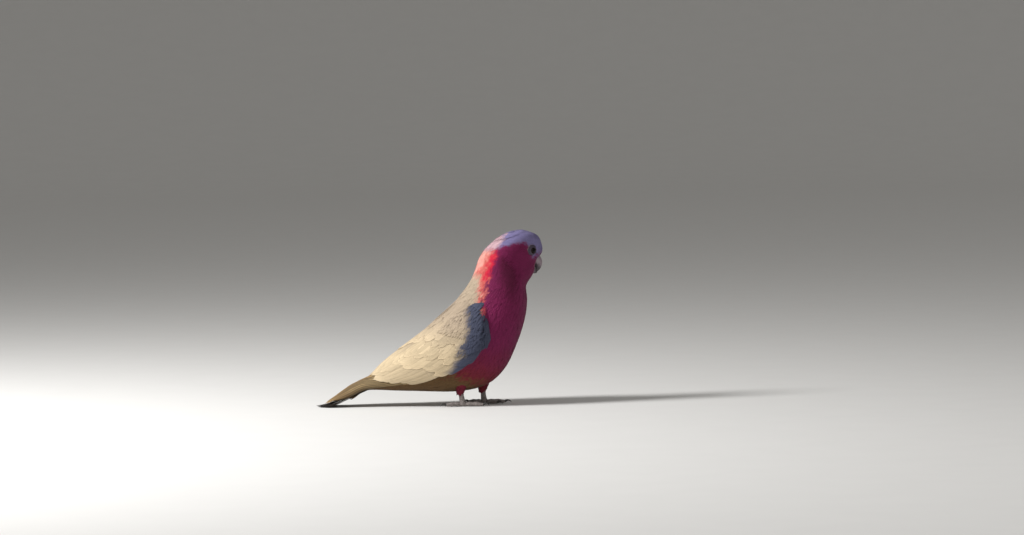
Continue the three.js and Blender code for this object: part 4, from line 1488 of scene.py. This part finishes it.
def add_feet():
    """Legs, soles and toes, with scutes across them."""
    tint = colours()
    finish = scale_material("galah_scales", tint.scale, tint.plate)
    for side, (x, y, lean) in FEET.items():
        x = x + ORIGIN_X / MM
        f = np.linspace(0, 1, 60)
        leg = np.stack([x + lean * (1 - f), 0 * f + y, lerp(LEG_TOP, 2.6, f)], -1)
        radius = LEG_RADIUS * (1 + 0.1 * np.cos(FULL_TURN * f))
        parts = [round_tube(leg, radius, 28, shape=scutes(5, 0.07))]
        z = np.linspace(0.2, 7.2, 14)
        high = (z - SOLE["middle"]) / SOLE["half"]
        radius = SOLE["radius"] * np.sqrt(np.clip(1 - high**2, 0.02, 1))
        parts.append(round_tube(np.stack([0 * z + x, 0 * z + y, z], -1), radius, 28))
        parts += [toe(side, heading, reach, thick) for heading, reach, thick, _ in TOES.values()]
        points, quads = joined(parts)
        foot = mesh_piece("foot_skin_" + side, on_floor(points), quads, finish, "foot_scales")
        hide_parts("foot_" + side)


def add_claws():
    """A curved claw on each toe, its point near the floor."""
    tint = colours()
    finish = horn_material("galah_claws", tint.claw, tint.claw_tip, 0.3)
    f = np.linspace(0, 1, 40)
    rise = CLAW_ARCH * np.sin(math.pi * f) - CLAW_ARCH / 2 * f
    for side in SIDES:
        for digit, (heading, reach, thick, size) in TOES.items():
            along = reach + TOE_REACH - 1 + size / CLAW_CURVE * np.sin(CLAW_CURVE * f)
            path = toe_line(side, heading, thick, along, rise)
            points, quads = round_tube(path, CLAW_RADIUS * lerp(1, 0.12, f**0.9), wide=0.82)
            place = share_place(np.repeat(f, len(points) // len(f)))
            name = f"claw_sheath_{side}_{digit}"
            claw = mesh_piece(name, on_floor(points), quads, finish, "claw_horn", place)
            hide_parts(f"claw_{side}_{digit}")


# ---------------------------------------------------------------- stage
FLOOR_REACH, FLOOR_SWEEP = 7.0, 5.0  # flat this far out, then rising all round in a quarter circle
AIM = (69.6, 0, 160.9)  # what the camera looks at
SENSOR = 36  # width of the camera's sensor in millimetres
LIGHT_AIM = (0, 0, 0.1)
KEY_PLACE, KEY_SIZE = (-1.5, -0.75, 1.35), 0.6
FILL_PLACE, FILL_SIZE = (1.5, -1.7, 0.9), 1.4
WORLD_STRENGTH = 0.34


def add_floor():
    """A pale floor that sweeps up all round into a backdrop."""
    s = Shader("studio_floor", roughness=0.85, specular_ior_level=0.2)
    floor = studio().floor
    s.feed("Base Color", s.mix(floor, [v * 0.96 for v in floor], s.noise(18.0, 5.0)))
    rise = np.linspace(0, math.pi / 2, 40)
    out = np.append(0.01, FLOOR_REACH + FLOOR_SWEEP * np.sin(rise))[:, None]
    high = np.append(0, FLOOR_SWEEP * (1 - np.cos(rise)))[:, None]
    a = ring_angles(96)
    rings = np.stack([out * np.cos(a), out * np.sin(a), high + 0 * a], -1)
    quads = grid_quads(*rings.shape[:2], closed=True).tolist()
    mesh = bpy.data.meshes.new("floor")
    mesh.from_pydata(rings.reshape(-1, 3).tolist(), [], [*quads, list(range(a.size))[::-1]])
    mesh.polygons.foreach_set("use_smooth", np.ones(len(mesh.polygons), bool))
    mesh.materials.append(s.material)
    linked("floor", mesh)


def add_camera():
    """A camera at the studio's heading, height and roll, aimed at the bird."""
    st = studio()
    aim = Vector(placed(*AIM))
    a, e = st.azimuth, st.elevation
    back = Vector((math.sin(a) * math.cos(e), -math.cos(a) * math.cos(e), math.sin(e)))
    right = Vector((math.cos(a), math.sin(a), 0))
    up = back.cross(right)
    axes = Matrix((right, up, back)).transposed() @ Matrix.Rotation(-st.roll, 3, "Z")
    camera = linked("camera", bpy.data.cameras.new("camera"))
    camera.data.sensor_width = SENSOR
    camera.data.lens = SENSOR * st.distance / st.field
    camera.matrix_world = Matrix.Translation(aim + back * st.distance) @ axes.to_4x4()
    bpy.context.scene.camera = camera


def add_light(name, place, size, watts):
    """A round soft light aimed at the bird."""
    light = bpy.data.lights.new(name, "AREA")
    light.shape = "DISK"
    light.size = size
    light.energy = watts
    lamp = linked(name, light)
    lamp.location = place
    lamp.rotation_euler = (Vector(place) - Vector(LIGHT_AIM)).to_track_quat("Z", "Y").to_euler()


def add_stage():
    """World light, floor, camera and lamps."""
    world = bpy.data.worlds.new("studio")
    world.use_nodes = True
    background = world.node_tree.nodes["Background"]
    background.inputs["Color"].default_value = (*studio().floor, 1)
    background.inputs["Strength"].default_value = WORLD_STRENGTH
    bpy.context.scene.world = world
    bpy.context.scene.view_settings.view_transform = "Standard"
    add_floor()
    add_camera()
    add_light("key", KEY_PLACE, KEY_SIZE, studio().key)
    add_light("fill", FILL_PLACE, FILL_SIZE, studio().fill)


# ---------------------------------------------------------------- add-on
class GALAH_OT_skin(bpy.types.Operator):
    """Skin of head, neck, trunk and thighs, in one piece"""

    bl_idname = "galah.skin"
    bl_label = "Skin"

    def execute(self, context):
        add_skin()
        return {"FINISHED"}


class GALAH_OT_body_plumage(bpy.types.Operator):
    """Feathers of crown, face, neck, breast, back, vent and thighs"""

    bl_idname = "galah.body_plumage"
    bl_label = "Body plumage"

    def execute(self, context):
        add_body_plumage()
        return {"FINISHED"}


class GALAH_OT_crest(bpy.types.Operator):
    """Crest laid flat over the crown"""

    bl_idname = "galah.crest"
    bl_label = "Crest"

    def execute(self, context):
        add_crest()
        return {"FINISHED"}


class GALAH_OT_wings(bpy.types.Operator):
    """Both folded wings: coverts, inner feathers and flight feathers"""

    bl_idname = "galah.wings"
    bl_label = "Wings"

    def execute(self, context):
        add_wings()
        return {"FINISHED"}


class GALAH_OT_tail(bpy.types.Operator):
    """Twelve closed tail feathers"""

    bl_idname = "galah.tail"
    bl_label = "Tail"

    def execute(self, context):
        add_tail()
        return {"FINISHED"}


class GALAH_OT_bill(bpy.types.Operator):
    """Upper and lower bill and the cere"""

    bl_idname = "galah.bill"
    bl_label = "Bill"

    def execute(self, context):
        add_bill()
        return {"FINISHED"}


class GALAH_OT_eyes(bpy.types.Operator):
    """Eyeballs and the bare rings round them"""

    bl_idname = "galah.eyes"
    bl_label = "Eyes"

    def execute(self, context):
        add_eyes()
        return {"FINISHED"}


class GALAH_OT_feet(bpy.types.Operator):
    """Scaled legs and toes"""

    bl_idname = "galah.feet"
    bl_label = "Feet"

    def execute(self, context):
        add_feet()
        return {"FINISHED"}


class GALAH_OT_claws(bpy.types.Operator):
    """Horn claws"""

    bl_idname = "galah.claws"
    bl_label = "Claws"

    def execute(self, context):
        add_claws()
        return {"FINISHED"}


class GALAH_OT_stage(bpy.types.Operator):
    """Floor, lights and camera"""

    bl_idname = "galah.stage"
    bl_label = "Stage"

    def execute(self, context):
        add_stage()
        return {"FINISHED"}


OPERATORS = (
    GALAH_OT_stage, GALAH_OT_skin, GALAH_OT_body_plumage, GALAH_OT_crest, GALAH_OT_wings,
    GALAH_OT_tail, GALAH_OT_bill, GALAH_OT_eyes, GALAH_OT_feet, GALAH_OT_claws,
)


class GALAH_PT_panel(bpy.types.Panel):
    """Sizes, colours and pieces of the galah"""

    bl_label = "Galah"
    bl_space_type = "VIEW_3D"
    bl_region_type = "UI"
    bl_category = "Galah"

    def draw(self, context):
        for name, group in GROUPS.items():
            box = self.layout.box()
            for field in group.__annotations__:
                box.prop(getattr(context.scene, name), field)
        for operator in OPERATORS:
            self.layout.operator(operator.bl_idname)


GROUPS = {"galah_coat": GalahCoat, "galah_colours": GalahColours, "galah_studio": GalahStudio}


def register():
    """Makes the classes and their settings known."""
    for kind in (*GROUPS.values(), *OPERATORS, GALAH_PT_panel):
        bpy.utils.register_class(kind)
    for name, group in GROUPS.items():
        setattr(bpy.types.Scene, name, PointerProperty(type=group))


def unregister():
    """Takes the settings and classes away again."""
    for name in GROUPS:
        delattr(bpy.types.Scene, name)
    for kind in (GALAH_PT_panel, *reversed(OPERATORS), *GROUPS.values()):
        bpy.utils.unregister_class(kind)


def main():
    """Builds every piece in turn."""
    register()
    for operator in OPERATORS:
        getattr(bpy.ops.galah, operator.bl_idname.partition(".")[2])()


if __name__ == "__main__":
    main()
